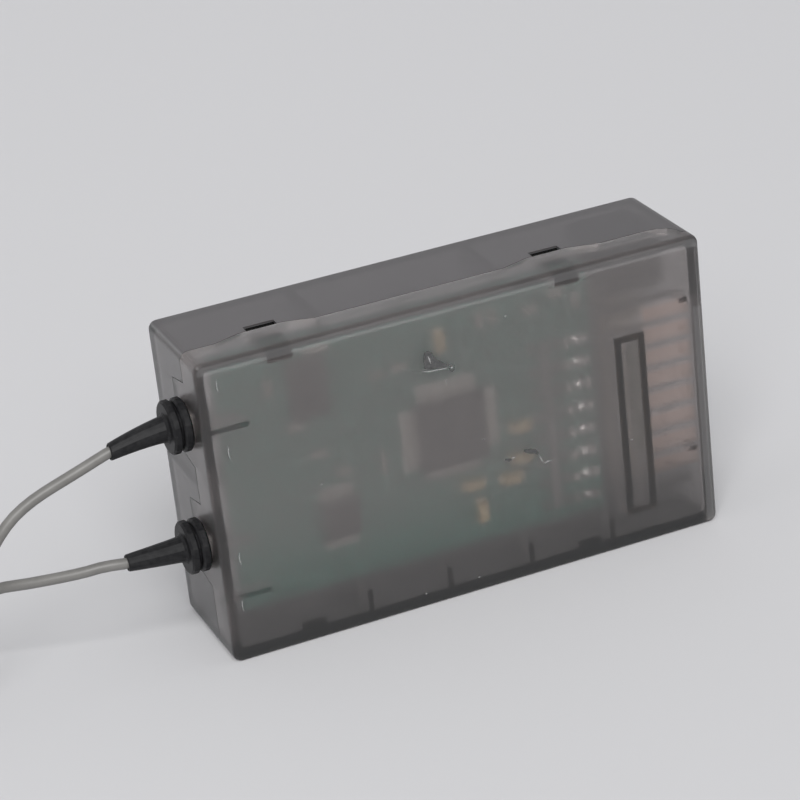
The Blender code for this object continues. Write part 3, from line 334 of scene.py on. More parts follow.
# %% Start a material
def new_material(name, colour, roughness, metallic=0.0):
    material = bpy.data.materials.new(name)
    material.use_nodes = True
    shader = material.node_tree.nodes["Principled BSDF"]
    shader.inputs["Base Color"].default_value = (*colour, 1.0)
    shader.inputs["Roughness"].default_value = roughness
    shader.inputs["Metallic"].default_value = metallic
    return material, material.node_tree, shader


def add_node(tree, kind, **values):
    """A node with its values: those of its sockets by their names, the rest as settings."""
    node = tree.nodes.new(kind)
    for key, value in values.items():
        if key in node.inputs:
            node.inputs[key].default_value = value
        else:
            setattr(node, key, value)
    return node


def dress(node, material):
    """Give a carried-over CAD node a better material."""
    mesh = NODES[node].data
    mesh.materials.clear()
    mesh.materials.append(material)


print("solids that can be dressed:", len(NODES))

# %% [markdown]
# ## Patterns in a material
#
# No real surface is even. Its colour, its gloss and its height wander a little, and each of
# these could be painted as an image. Noise and arithmetic on the coordinates do it without one,
# at any distance. These helpers return a socket, so that one pattern can feed the next.


# %% Pattern helpers
def object_axes(tree):
    """The X, Y and Z of a point on the object, as three sockets."""
    coordinates = add_node(tree, "ShaderNodeTexCoord")
    split = add_node(tree, "ShaderNodeSeparateXYZ")
    tree.links.new(coordinates.outputs["Object"], split.inputs["Vector"])
    return [split.outputs[axis] for axis in "XYZ"]


def object_noise(tree, scale, detail=2.0):
    """Noise that is fixed to the object."""
    coordinates = add_node(tree, "ShaderNodeTexCoord")
    noise = add_node(tree, "ShaderNodeTexNoise", Scale=scale, Detail=detail)
    tree.links.new(coordinates.outputs["Object"], noise.inputs["Vector"])
    return noise.outputs["Fac"]


def maths(tree, operation, *values):
    """One Math node. Each value is a number or another node's output."""
    node = add_node(tree, "ShaderNodeMath", operation=operation)
    for socket, value in zip(node.inputs, values):
        if isinstance(value, bpy.types.NodeSocket):
            tree.links.new(value, socket)
        else:
            socket.default_value = value
    return node.outputs[0]


def fade(tree, source, start, end, low=0.0, high=1.0, curve="SMOOTHSTEP"):
    """Go from low to high while the source goes from start to end."""
    step = add_node(tree, "ShaderNodeMapRange", interpolation_type=curve)
    limits = {"From Min": start, "From Max": end, "To Min": low, "To Max": high}
    for socket, value in limits.items():
        step.inputs[socket].default_value = value
    tree.links.new(source, step.inputs["Value"])
    return step.outputs["Result"]


print("pattern helpers: object_axes, object_noise, maths, fade")

# %% [markdown]
# ## Patterns on the shader
#
# A pattern changes nothing until it reaches the shader. It can drive one of its values, its
# colour through a ramp, or the direction of the surface as a bump. A bump is chosen for the
# finest grain, because real dents that small would need millions of faces.


# %% Shader helpers
def add_bump(tree, shader, source, strength, distance):
    bump = add_node(tree, "ShaderNodeBump", Strength=strength, Distance=distance)
    tree.links.new(source, bump.inputs["Height"])
    tree.links.new(bump.outputs["Normal"], shader.inputs["Normal"])


def vary(tree, shader, socket, source, low, high):
    """Drive one value of the shader from a pattern of 0 to 1, between two limits."""
    spread = fade(tree, source, 0.0, 1.0, low, high, "LINEAR")
    tree.links.new(spread, shader.inputs[socket])


def vary_colour(tree, shader, source, stops, interpolation="LINEAR"):
    """Drive the shader's colour through a ramp between two stops."""
    ramp = add_node(tree, "ShaderNodeValToRGB")
    ramp.color_ramp.interpolation = interpolation
    for element, (position, colour) in zip(ramp.color_ramp.elements, stops):
        element.position = position
        element.color = (*colour, 1.0)
    tree.links.new(source, ramp.inputs["Fac"])
    tree.links.new(ramp.outputs["Color"], shader.inputs["Base Color"])
    return ramp.outputs["Color"]


def speckled(
    name, low, high, roughness, scale=1500.0, detail=3.0, stops=(0.35, 0.65), gloss=None, bump=None
):
    """A colour that wanders between two shades, and where asked for, gloss and height with it."""
    material, tree, shader = new_material(name, low, roughness)
    noise = object_noise(tree, scale, detail)
    vary_colour(tree, shader, noise, [(stops[0], low), (stops[1], high)])
    if gloss:
        vary(tree, shader, "Roughness", noise, *gloss)
    if bump:
        add_bump(tree, shader, noise, *bump)
    return material


def shader_of(material):
    return material.node_tree.nodes["Principled BSDF"]


print("shader helpers: add_bump, vary, vary_colour, speckled")

# %% [markdown]
# ## Light through the plug socket
#
# Beside the frame-shaped rib the photograph shows eight pale bands. They are light that comes in
# between the guides of the plugs. Tracing it through two walls of plastic would take very long.
# The bands are painted into the cover instead: a cosine along Z, cut off softly on all sides.

# %% Plug bands
BAND_PITCH = 2.46 * mm
FIRST_BAND = 8.3 * mm


def plug_bands(tree):
    """Eight paler bands beside the frame, as a pattern of 0 to 1."""
    x, _, z = object_axes(tree)
    rate = 2 * math.pi / BAND_PITCH
    start = -2 * math.pi * FIRST_BAND / BAND_PITCH
    wave = maths(tree, "COSINE", maths(tree, "MULTIPLY_ADD", z, rate, start))
    bands = fade(tree, wave, -1.0, -0.1)
    for source, outside, inside in (
        (x, LEFT + 47.7 * mm, LEFT + 48.5 * mm),
        (x, LEFT + 53.6 * mm, LEFT + 53.0 * mm),
        (z, 6.6 * mm, 8.0 * mm),
        (z, 26.6 * mm, 25.9 * mm),
    ):
        bands = maths(tree, "MULTIPLY", bands, fade(tree, source, outside, inside))
    return bands


print(f"bands every {BAND_PITCH / mm:.2f} mm from {FIRST_BAND / mm:.1f} mm above the floor")

# %% [markdown]
# ## The milky wall
#
# The cover's large wall has a satin inner face, so the board behind it is a soft picture. A rough
# face alone blurs large shapes too little to take their contrast away. So the wall also scatters:
# the material is milky on the inside of that wall, most in the painted bands of light. Towards the
# floor it is less milky, which is painted shade for the light that falls in from the top. Very
# faintly on the outside, along the top and the right edge, the milkiness is a painted pale rim of
# light.

# %% Milkiness
WALL_MARGIN = 1.2 * mm
WALL_INSIDE = (FRONT + 0.7 * mm, FRONT + 1.5 * mm)
FLOOR_SHADE_RISE = (1.5 * mm, 15 * mm)
FLOOR_SHADE_SHARE = 0.2
OFF_BAND = 0.544
RIM_LIGHT_SHARE = 0.07


def cover_milk_and_painted_light(tree, bands):
    """How milky the cover's large wall is: most on its inside, less near the floor as painted shade,
    and a faint painted rim of light outside along the top and the right edge.
    """
    x, y, z = object_axes(tree)
    inner = None
    for source, low, high in (
        (x, case_low.x + WALL_MARGIN, case_high.x - WALL_MARGIN),
        (y, *WALL_INSIDE),
        (z, case_low.z + WALL_MARGIN, case_high.z - WALL_MARGIN),
    ):
        above = maths(tree, "GREATER_THAN", source, low)
        below = maths(tree, "LESS_THAN", source, high)
        slab = maths(tree, "MULTIPLY", above, below)
        inner = slab if inner is None else maths(tree, "MULTIPLY", inner, slab)
    # painted shade: less milky, and so darker, towards the floor
    inner = maths(tree, "MULTIPLY", inner, fade(tree, z, *FLOOR_SHADE_RISE, FLOOR_SHADE_SHARE, 1.0))
    level = fade(tree, bands, 0.0, 1.0, OFF_BAND, 1.0, "LINEAR")
    inner = maths(tree, "MULTIPLY", inner, level)
    # painted light: a faint pale rim on the outside along the top and the right edge
    skin = maths(tree, "LESS_THAN", y, FRONT + 0.05 * mm)
    top = maths(tree, "GREATER_THAN", z, case_high.z - WALL_MARGIN)
    right = maths(tree, "GREATER_THAN", x, case_high.x - WALL_MARGIN)
    right = maths(tree, "MULTIPLY", right, maths(tree, "LESS_THAN", z, 25 * mm))
    rim_light = maths(tree, "MULTIPLY", skin, maths(tree, "MAXIMUM", top, right))
    rim_light = maths(tree, "MULTIPLY", rim_light, RIM_LIGHT_SHARE)
    return maths(tree, "MAXIMUM", inner, rim_light)


print("milky between", [round((depth - FRONT) / mm, 2) for depth in WALL_INSIDE], "mm of depth")

# %% [markdown]
# ## Smoke-tinted plastic
#
# The real housing is polycarbonate with a grey tint in its depth. A tint could be given to the
# surface, but then thick places would be as pale as thin ones. Absorption in the volume darkens with
# the way the light has to go. The deep half also gets a thin dark veil on its top face, which is
# painted shade: it darkens the top and hides what stands below, which doesn't show in the
# photograph. No real part is known to do that.

# %% Smoke plastic
CLEAR = (0.94, 0.953, 0.962)
WARM = (1.0, 0.93, 0.9)
TOP_SHADE = (0.175, 0.165, 0.171)
TOP_SHADE_DEPTH = (case_high.z - 0.45 * mm, case_high.z - 0.1 * mm)
SATIN = 0.3
TRANSMISSION = 0.98
MILKY_TRANSMISSION = 0.3
TOP_SHADE_TRANSMISSION = 0.6


def smoke_plastic(name, tint, density):
    """Grey in its depth, with satin faces."""
    material, tree, shader = new_material(name, CLEAR, SATIN)
    shader.inputs["IOR"].default_value = 1.5
    shader.inputs["Transmission Weight"].default_value = TRANSMISSION
    vary(tree, shader, "Roughness", object_noise(tree, 60.0), SATIN * 0.92, SATIN * 1.1)
    add_bump(tree, shader, object_noise(tree, 900.0, 3.0), 0.12, 0.00005)
    depth = add_node(tree, "ShaderNodeVolumeAbsorption", Density=density)
    depth.inputs["Color"].default_value = (*tint, 1.0)
    output = tree.nodes["Material Output"]
    tree.links.new(depth.outputs["Volume"], output.inputs["Volume"])
    return material, tree, shader


def smoke_cover():
    """The shallow half, with its milky wall and the bands of light."""
    material, tree, shader = smoke_plastic("smoke_cover", (0.45, 0.365, 0.34), 480.0)
    bands = plug_bands(tree)
    # milky carries the painted bands of light, the painted shade near the floor and the painted rim
    # of light
    milky = cover_milk_and_painted_light(tree, bands)
    vary(tree, shader, "Transmission Weight", milky, TRANSMISSION, MILKY_TRANSMISSION)
    vary_colour(tree, shader, bands, [(0.0, CLEAR), (1.0, WARM)])
    return material


def smoke_case():
    """The deep half, with a dark veil of painted shade on its top face."""
    material, tree, shader = smoke_plastic("smoke_case", (0.41, 0.37, 0.36), 700.0)
    # painted shade: a dark veil just below the top face
    veil = fade(tree, object_axes(tree)[2], *TOP_SHADE_DEPTH)
    vary(tree, shader, "Transmission Weight", veil, TRANSMISSION, TOP_SHADE_TRANSMISSION)
    vary_colour(tree, shader, veil, [(0.0, CLEAR), (1.0, TOP_SHADE)])
    return material


SMOKE_COVER = smoke_cover()
dress("front_cover", SMOKE_COVER)
dress("rear_case", smoke_case())
print("smoke plastic on the two halves")

# %% [markdown]
# ## The board
#
# A circuit board is glass fibre under green solder mask, a little mottled. One flat green would
# do from afar, but noise between two greens looks less like paper. Its lowest margin is nearly
# black in the photograph, so a Mix node turns the green to dark there, by height.

# %% Green board
MARGIN_COLOUR = (0.06, 0.055, 0.058, 1.0)
MARGIN_HEIGHT = (3.5 * mm, 4.9 * mm)


def green_board():
    material, tree, shader = new_material("solder_mask", (0.02, 0.16, 0.10), 0.3)
    noise = object_noise(tree, 700.0, 4.0)
    greens = [(0.35, (0.04, 0.21, 0.155)), (0.65, (0.09, 0.33, 0.26))]
    green = vary_colour(tree, shader, noise, greens)
    margin = add_node(tree, "ShaderNodeMix", data_type="RGBA", A=MARGIN_COLOUR)
    low_edge = fade(tree, object_axes(tree)[2], *MARGIN_HEIGHT)
    tree.links.new(low_edge, margin.inputs["Factor"])
    tree.links.new(green, margin.inputs["B"])
    tree.links.new(margin.outputs["Result"], shader.inputs["Base Color"])
    add_bump(tree, shader, noise, 0.2, 0.00003)
    return material


dress("main_board", green_board())
print("board:", [round(size / mm, 1) for size in NODES["main_board"].dimensions], "mm")

# %% [markdown]
# ## Chips
#
# A chip is a body of black moulding compound with bright leads. In the model both are one solid,
# so one material has to show two. The leads could be marked face by face, but they simply are
# what lies outside the body's sides. A comparison of the place with the body's half widths
# finds them, and the ramp's CONSTANT setting keeps the edge sharp.

# %% Chips and header
EPOXY_BLACK = (0.03, 0.028, 0.03)
LEAD_BRIGHT = (0.8, 0.78, 0.74)
CONTROLLER_HALF = 3.62 * mm
MEMORY_HALF = (5.0 * mm, 1.97 * mm)


def chip_epoxy():
    material, tree, shader = new_material("chip_epoxy", EPOXY_BLACK, 0.5)
    noise = object_noise(tree, 3000.0, 3.0)
    add_bump(tree, shader, noise, 0.3, 0.00002)
    vary(tree, shader, "Roughness", noise, 0.4, 0.6)
    return material


def leaded_epoxy(name, node, half_x, half_z):
    """Black body with bright leads: metal wherever the point lies outside the body's sides."""
    low, high = corners_of(node)
    middle = (low + high) / 2
    material, tree, shader = new_material(name, EPOXY_BLACK, 0.45)
    x, _, z = object_axes(tree)
    outside = []
    for source, centre, half in ((x, middle.x, half_x), (z, middle.z, half_z)):
        distance = maths(tree, "ABSOLUTE", maths(tree, "SUBTRACT", source, centre))
        outside.append(maths(tree, "GREATER_THAN", distance, half))
    either = maths(tree, "MAXIMUM", *outside)
    vary_colour(tree, shader, either, [(0.0, EPOXY_BLACK), (0.5, LEAD_BRIGHT)], "CONSTANT")
    tree.links.new(either, shader.inputs["Metallic"])
    return material


EPOXY = chip_epoxy()
for node in ("radio_chip", "header_block", "voltage_regulator"):
    dress(node, EPOXY)
controller = leaded_epoxy("controller_package", "microcontroller", CONTROLLER_HALF, CONTROLLER_HALF)
dress("microcontroller", controller)
dress("memory_chip", leaded_epoxy("memory_package", "memory_chip", *MEMORY_HALF))
print("chips, header and regulator dressed")

# %% [markdown]
# ## Pins and cans
#
# The header's pins are gold-plated brass, and at the board's front each one ends in a cone of
# solder. Pin and solder are one solid here, so the colour changes with the depth. The signal pins
# show best through the cover and have bright solder. All other pins get the same solder in dark
# grey, and the lowest signal pin gets it in middle grey: painted shade for the shade they lie in. A
# dull strip, the ground bus, stands beside them.

# %% Pins, strip and cans
GOLD = (0.83, 0.62, 0.3)
SOLDER_DEPTH = (FRONT + 3.6 * mm, FRONT + 5.0 * mm)


def metal(name, colour, roughness):
    material, tree, shader = new_material(name, colour, roughness, 1.0)
    noise = object_noise(tree, 2500.0)
    vary(tree, shader, "Roughness", noise, roughness * 0.8, roughness * 1.3)
    return material


def pin_metal(name, solder, roughness):
    """Gold pins that turn to the colour of the solder on the board's front."""
    material, tree, shader = new_material(name, GOLD, roughness, 1.0)
    depth = fade(tree, object_axes(tree)[1], *SOLDER_DEPTH, curve="LINEAR")
    vary_colour(tree, shader, depth, [(0.2, solder), (0.8, GOLD)])
    return material


BRIGHT_PINS = pin_metal("pins_bright_solder", (0.86, 0.85, 0.83), 0.3)
# painted shade: the same solder in dark grey for all but the signal pins
SHADED_PINS = pin_metal("pins_shaded_solder", (0.3, 0.3, 0.29), 0.5)
pins = [node for node in NODES if node.startswith("pin_")]
for node in pins:
    dress(node, BRIGHT_PINS if "signal" in node else SHADED_PINS)
# painted shade: the lowest signal pin's solder in middle grey
dress("pin_signal_1", pin_metal("pin_half_shaded_solder", (0.52, 0.51, 0.5), 0.4))
dress("ground_bus", metal("tinned_strip", (0.42, 0.42, 0.41), 0.5))
CAN = metal("drawn_can", (0.75, 0.75, 0.77), 0.35)
dress("supply_capacitor", CAN)
dress("crystal", CAN)
print(len(pins), "pins, the strip and two cans dressed")

# %% [markdown]
# ## Two-terminal parts
#
# The tan blocks are moulded capacitors, the pale ones ceramic parts with tinned ends. They are
# a few millimetres long and lie behind milky plastic, so printed marks would never show. Two
# shades that wander into each other are enough to keep them from looking painted.

# %% Two-terminal parts
WIDE_STOPS = (0.3, 0.7)
TAN = speckled(
    "tantalum_case", (0.85, 0.66, 0.34), (0.95, 0.8, 0.5), 0.4, detail=2.0, stops=WIDE_STOPS
)
PALE = speckled(
    "pale_ceramic", (0.5, 0.48, 0.42), (0.7, 0.69, 0.64), 0.4, detail=2.0, stops=WIDE_STOPS
)
for node in NODES:
    if node.startswith("capacitor_"):
        dress(node, TAN)
    elif node.startswith("resistor_"):
        dress(node, PALE)
print("tan and pale parts dressed")

# %% [markdown]
# ## Rubber and coaxial lead
#
# The boots are moulded rubber, black with a dull sheen. Rubber reflects less than the shader's
# usual setting, so its specular level is low and its gloss uneven. The leads have a grey
# fluoropolymer jacket, and their tips show the pale insulation below it.

# %% Rubber, jacket and tips
RUBBER = speckled(
    "boot_rubber",
    (0.008, 0.008, 0.009),
    (0.018, 0.018, 0.019),
    0.42,
    scale=1800.0,
    detail=4.0,
    stops=(0.35, 0.7),
    gloss=(0.36, 0.55),
    bump=(0.25, 0.00004),
)
shader_of(RUBBER).inputs["Specular IOR Level"].default_value = 0.2
dress("upper_boot", RUBBER)
dress("lower_boot", RUBBER)

JACKET = speckled(
    "coax_jacket",
    (0.143, 0.139, 0.132),
    (0.178, 0.174, 0.165),
    0.42,
    scale=500.0,
    stops=WIDE_STOPS,
    bump=(0.15, 0.00003),
)
for lead in LEADS.values():
    lead.data.materials.append(JACKET)

TIP, tip_tree, tip_shader = new_material("tip_insulation", (0.6, 0.58, 0.53), 0.35)
vary(tip_tree, tip_shader, "Roughness", object_noise(tip_tree, 800.0), 0.3, 0.45)
dress("antenna_tip_upper", TIP)
dress("antenna_tip_lower", TIP)
print("rubber, coax and tips dressed")

# %% [markdown]
# ## Small things the model leaves out
#
# The rest is too thin or too small for a solid of its own: tinned lands under the leads and joints,
# the lowest of them in painted shade, a few more parts, black pads of painted shade below the snap
# windows, dividers between the plugs, a pale strip in the frame rib as a painted highlight, scuffs,
# and one larger dark block above the socket. Each starts from a primitive and is shaped in edit
# mode. Joined, the copies of one kind are a single piece.


# %% Plates and joining
def place_of(x, depth, z):
    """A point in the row frame, from millimetres along, behind the front and above the floor."""
    return Vector((LEFT + x * mm, FRONT + depth * mm, z * mm))


def chamfered_plate(name, middle, size, edge=0.12):
    """A plate with bevelled edges, from a cube. The bevel is a share of the thinnest side."""
    bpy.ops.object.select_all(action="DESELECT")
    bpy.ops.mesh.primitive_cube_add(size=mm)
    piece = bpy.context.object
    piece.name = name
    bpy.ops.object.mode_set(mode="EDIT")
    bpy.ops.mesh.select_all(action="SELECT")
    bpy.ops.transform.resize(value=size)
    bpy.ops.transform.translate(value=place_of(*middle))
    bpy.ops.mesh.bevel(offset=edge * min(size) * mm, segments=2, affect="EDGES")
    bpy.ops.object.mode_set(mode="OBJECT")
    return piece


def joined(name, pieces, material):
    """Join copies into one piece, dress it and let it ride on the receiver."""
    bpy.ops.object.select_all(action="DESELECT")
    for piece in pieces:
        piece.select_set(True)
    bpy.context.view_layer.objects.active = pieces[0]
    if len(pieces) > 1:
        bpy.ops.object.join()
    piece = bpy.context.view_layer.objects.active
    piece.name = name
    piece.data.name = name
    piece.data.materials.clear()
    piece.data.materials.append(material)
    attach(piece, "root")
    print(f"{name}: {len(piece.data.polygons)} faces")


print("a plate's middle may be at", [round(v / mm, 1) for v in place_of(22.35, 3.29, 17.5)], "mm")

# %% [markdown]
# ## Lands under the chips
#
# The copper under a chip's leads is tinned and a little wider than the leads, so it shows as a
# bright bar on each side of the body. Single lands can't be told apart through the cover. One thin
# plate for each side gives the same picture. Two of the bars, the lowest of each chip, are dull in
# the photograph; they get painted shade, the same tin in a darker grey.

# %% Lands under the chips
TIN = speckled("tinned_land", (0.78, 0.76, 0.72), (0.92, 0.9, 0.86), 0.4)
# a darker grey: painted shade on the lowest lands, and the painted highlight strip in the frame rib
SHADE_AND_STREAK_GREY = speckled("shade_and_streak_grey", (0.3, 0.3, 0.28), (0.42, 0.42, 0.4), 0.5)
LAND_DEPTH = 3.29
LAND_THICKNESS = 0.08
bright_lands = [
    ((22.35, 17.5), (1.9, 6.6)),
    ((26.75, 22.2), (6.4, 1.9)),
    ((31.35, 17.8), (1.5, 6.2)),
    ((13.82, 14.2), (3.7, 1.3)),
]
# painted shade: the lowest bar of each chip
shaded_lands = [
    ((26.75, 13.05), (6.4, 1.2)),
    ((13.82, 8.85), (3.7, 1.2)),
]


def chip_lands(bars):
    """A thin plate for each bar, given by its middle and its size along X and Z."""
    return [
        chamfered_plate("land", (x, LAND_DEPTH, z), (wide, LAND_THICKNESS, high))
        for (x, z), (wide, high) in bars
    ]


joined("controller_lands", chip_lands(bright_lands), TIN)
joined("controller_lands_shaded", chip_lands(shaded_lands), SHADE_AND_STREAK_GREY)

# %% [markdown]
# ## Lands beside the joints
#
# Each signal pin's joint has a drop of solder on both sides. The pins' own boxes say how high they
# stand, so the drops follow the model and need no list. A bevel of a third of the thickness turns a
# small block into something like a drop. The lowest pin's drops are painted shade, the same solder
# in a darker grey.

# %% Lands beside the joints
DROP_DEPTH = 2.9
DROP_SIZE = (0.78, 0.8, 1.0)
drops = []
for number in range(1, 9):
    low, high = corners_of(f"pin_signal_{number}")
    z = (low.z + high.z) / 2 / mm
    for x in (40.2, 42.4):
        drops.append(chamfered_plate("drop", (x, DROP_DEPTH, z), DROP_SIZE, 0.35))
joined("joint_lands", drops[2:], TIN)
# painted shade: the lowest pin's drops in the darker grey
joined("joint_lands_shaded", drops[:2], SHADE_AND_STREAK_GREY)

# %% [markdown]
# ## Ends of the capacitors
#
# A capacitor is soldered at both of its ends, and the tinned metal there is warmer in the
# photograph than the lands are. A block beside each end stands for it. Which ends those are
# follows from the longer side of the solid's box, so turned parts come out right.

# %% Ends of the capacitors
YELLOW_TIN = speckled("yellow_land", (0.85, 0.76, 0.5), (0.95, 0.88, 0.65), 0.35)
END_DEPTH = 2.95
END_REACH = 0.32
ends = []
for number in range(1, 7):
    low, high = corners_of(f"capacitor_{number}")
    middle = (low + high) / 2
    lying = high.x - low.x > high.z - low.z
    half = (high.x - low.x if lying else high.z - low.z) / 2 / mm + END_REACH
    x0, z0 = (middle.x - LEFT) / mm, middle.z / mm
    for side in (-1, 1):
        place = (x0 + side * half, END_DEPTH, z0) if lying else (x0, END_DEPTH, z0 + side * half)
        size = (0.5, 0.7, 1.1) if lying else (1.1, 0.7, 0.5)
        ends.append(chamfered_plate("end", place, size, 0.25))
joined("capacitor_ends", ends, YELLOW_TIN)

# %% [markdown]
# ## More parts on the board
#
# A few pale parts are seen in the photograph that the model doesn't have. They are soft shapes
# behind the plastic, so a plate of the right size and the pale parts' material is all they need.

# %% More parts
PART_DEPTH = 3.1
extra = [
    ((22.0, 25.9), (1.6, 0.85)),
    ((14.9, 16.3), (1.5, 0.8)),
    ((19.2, 16.0), (0.6, 2.5)),
    ((13.6, 30.1), (2.4, 0.6)),
]
parts = []
for (x, z), (wide, high) in extra:
    parts.append(chamfered_plate("part", (x, PART_DEPTH, z), (wide, 0.4, high), 0.2))
joined("more_parts", parts, PALE)

# %% [markdown]
# ## Painted shade below the snap windows
#
# Through the two windows in the top one looks into the dark. An open hole shows the lit board behind
# it. A black pad below each hook is painted shade: it closes the view, with next to no reflection of
# its own.

# %% Window shade pads
# painted shade: black pads where the windows show only shade
SHADE_BLACK = speckled("painted_shade_pad", (0.003, 0.003, 0.003), (0.007, 0.007, 0.007), 0.7)
shader_of(SHADE_BLACK).inputs["Specular IOR Level"].default_value = 0.04
WINDOWS = (9.1, CASE_LENGTH - 14.7)
TAB_RIM_DEPTH = 5.1
SHADE_PAD_DEPTH = TAB_RIM_DEPTH + 0.8
SHADE_PAD_HEIGHT = 32.45
shade_pads = [chamfered_plate("shade_pad", (x, SHADE_PAD_DEPTH, SHADE_PAD_HEIGHT), (3.19, 0.76, 0.3), 0.1) for x in WINDOWS]
joined("window_shade_pads", shade_pads, SHADE_BLACK)

# %% [markdown]
# ## Inside the plug socket
#
# Short dividers keep the eight plugs apart, and a pale strip in the frame-shaped rib is a painted
# highlight. In the corner above the socket the photograph shows something dark and doesn't explain
# it. The block for it is a guess, placed close to the case's top and back wall, and only darkens
# that corner. All are bevelled plates, as their finer form wouldn't show through the cover.

# %% Dividers, strip and block
PLUG_PITCH = 2.565
FIRST_PLUG = 4.72
dividers = []
for count in range(1, 8):
    z = FIRST_PLUG + PLUG_PITCH * count
    dividers.append(chamfered_plate("divider", (53.1, 1.35, z), (1.5, 0.36, 0.3), 0.2))
joined("plug_dividers", dividers, SMOKE_COVER)
# painted highlight: a pale strip for the streak of light in the frame rib
bar = chamfered_plate("frame_highlight_strip", (46.9, 1.27, 16.5), (1.3, 0.3, 12.0), 0.3)
joined("frame_highlight_strip", [bar], SHADE_AND_STREAK_GREY)
# a dark block that only darkens the corner above the socket
corner_block = chamfered_plate("dark_corner_block", (49.6, 9.05, 28.8), (7.4, 7.3, 5.5), 0.1)
joined("dark_corner_block", [corner_block], EPOXY)

# %% [markdown]
# ## Scuffs and specks
#
# The cover is used: dark marks with pale edges, ticks and specks lie on its large face. They
# could be painted, but a mark with a thickness catches the light as the real ones do. A flake
# is a filled circle whose corners are moved in turn, and a streak is a flake along a line.

# %% Flakes and streaks
SCUFF_DEPTH = -0.022
UPPER_DEPTH = -0.045
SCUFF_THICKNESS = 0.018


def flake(name, outline, depth=SCUFF_DEPTH):
    """A thin flake in the plane of the cover, with its corners on the outline."""
    bpy.ops.object.select_all(action="DESELECT")
    bpy.ops.mesh.primitive_circle_add(vertices=len(outline), radius=mm, fill_type="NGON")
    piece = bpy.context.object
    piece.name = name
    bpy.ops.object.mode_set(mode="EDIT")
    bm = bmesh.from_edit_mesh(piece.data)
    for index, (x, z) in enumerate(outline):
        bm.verts.ensure_lookup_table()
        for vert in bm.verts:
            vert.select_set(vert.index == index)
        bm.select_flush_mode()
        way = place_of(x, depth, z) - bm.verts[index].co
        bmesh.update_edit_mesh(piece.data)
        bpy.ops.transform.translate(value=way)
        bm = bmesh.from_edit_mesh(piece.data)
    bpy.ops.mesh.select_all(action="SELECT")
    thick = (0, SCUFF_THICKNESS * mm, 0)
    bpy.ops.mesh.extrude_region_move(TRANSFORM_OT_translate={"value": thick})
    bpy.ops.mesh.select_all(action="SELECT")
    bpy.ops.mesh.normals_make_consistent(inside=False)
    bpy.ops.object.mode_set(mode="OBJECT")
    return piece


def streak(name, points, width, depth=SCUFF_DEPTH):
    """A flake that follows a line, widest in the middle."""
    line = [Vector(point) for point in points]
    sides = ([], [])
    for index, point in enumerate(line):
        ahead = line[min(index + 1, len(line) - 1)] - line[max(index - 1, 0)]
        across = Vector((-ahead.y, ahead.x)).normalized()
        share = index / (len(line) - 1)
        half = width / 2 * (0.35 + 0.65 * math.sin(math.pi * share))
        sides[0].append(tuple(point + across * half))
        sides[1].append(tuple(point - across * half))
    return flake(name, sides[0] + sides[1][::-1], depth)


print(f"scuffs stand {-SCUFF_DEPTH} to {-UPPER_DEPTH} mm in front of the cover")

# %% [markdown]
# ## Dark scuffs
#
# The largest mark is fin-shaped, with a small ring at its tip and two smears lower down. A scan of
# the marks would be exact, but a dozen corners, read one by one, are as good at this size.
# The noise is finer than on the other materials, because the marks themselves are small.

# %% Dark scuffs
FINE_SCALE = 4000.0
DARK_SCUFF = speckled("dark_scuff", (0.045, 0.045, 0.045), (0.085, 0.085, 0.085), 0.5, FINE_SCALE)
fin_outline = [
    (23.72, 26.15),
    (23.74, 27.2),
    (23.86, 27.95),
    (24.35, 28.02),
    (24.68, 27.7),
    (24.86, 27.15),
    (25.3, 26.75),
    (25.95, 26.2),
    (26.22, 25.82),
    (25.7, 25.84),
    (24.9, 25.98),
    (24.3, 26.02),
]
ring_left = [(26.35, 25.72), (26.42, 25.95), (26.62, 26.03), (26.84, 25.92), (26.9, 25.68)]
ring_right = [(26.9, 25.6), (26.84, 25.3), (26.6, 25.18), (26.4, 25.32), (26.34, 25.6)]
darks = [
    flake("fin", fin_outline),
    streak("ring_left", ring_left, 0.12),
    streak("ring_right", ring_right, 0.12),
    streak("smear", [(31.35, 13.98), (31.75, 13.8), (32.1, 13.78)], 0.42),
    streak("smear", [(33.5, 14.35), (34.2, 14.12), (34.75, 13.95), (35.1, 13.55)], 0.6),
]
joined("dark_scuffs", darks, DARK_SCUFF)

# %% [markdown]
# ## Pale scuffs
#
# Raised edges of the dark marks, ticks and specks catch the light. Those on the fin and the ring
# lie on top of the dark ones, so they stand a little further in front. The four arcs at the left
# edge are marks of the mould's ejector pins, and one formula draws them all.

# %% Pale scuffs
PALE_SCUFF = speckled("pale_scuff", (0.24, 0.24, 0.24), (0.42, 0.42, 0.42), 0.5, FINE_SCALE)
fin_edge = [(23.5, 26.02), (24.0, 25.82), (24.7, 25.78), (25.4, 25.72), (26.15, 25.68)]
pales = [
    streak("fin_edge", fin_edge, 0.12, UPPER_DEPTH),
    streak("fin_streak", [(24.2, 27.45), (24.32, 27.1), (24.4, 26.6)], 0.14, UPPER_DEPTH),
    streak("ring_dot", [(26.52, 25.6), (26.62, 25.6), (26.72, 25.6)], 0.2, UPPER_DEPTH),
]
ticks = [
    ([(25.83, 24.5), (25.86, 24.2), (25.84, 23.9)], 0.08),
    ([(35.15, 13.35), (35.35, 12.9), (35.5, 12.5)], 0.08),
    ([(35.6, 12.3), (36.0, 12.42), (36.4, 12.42)], 0.1),
    ([(32.1, 13.95), (32.3, 13.92), (32.5, 13.85)], 0.14),
    ([(32.8, 29.45), (32.9, 29.55), (33.02, 29.52)], 0.14),
    ([(29.2, 16.9), (29.25, 16.84), (29.3, 16.8)], 0.1),
]
for points, width in ticks:
    pales.append(streak("tick", points, width))
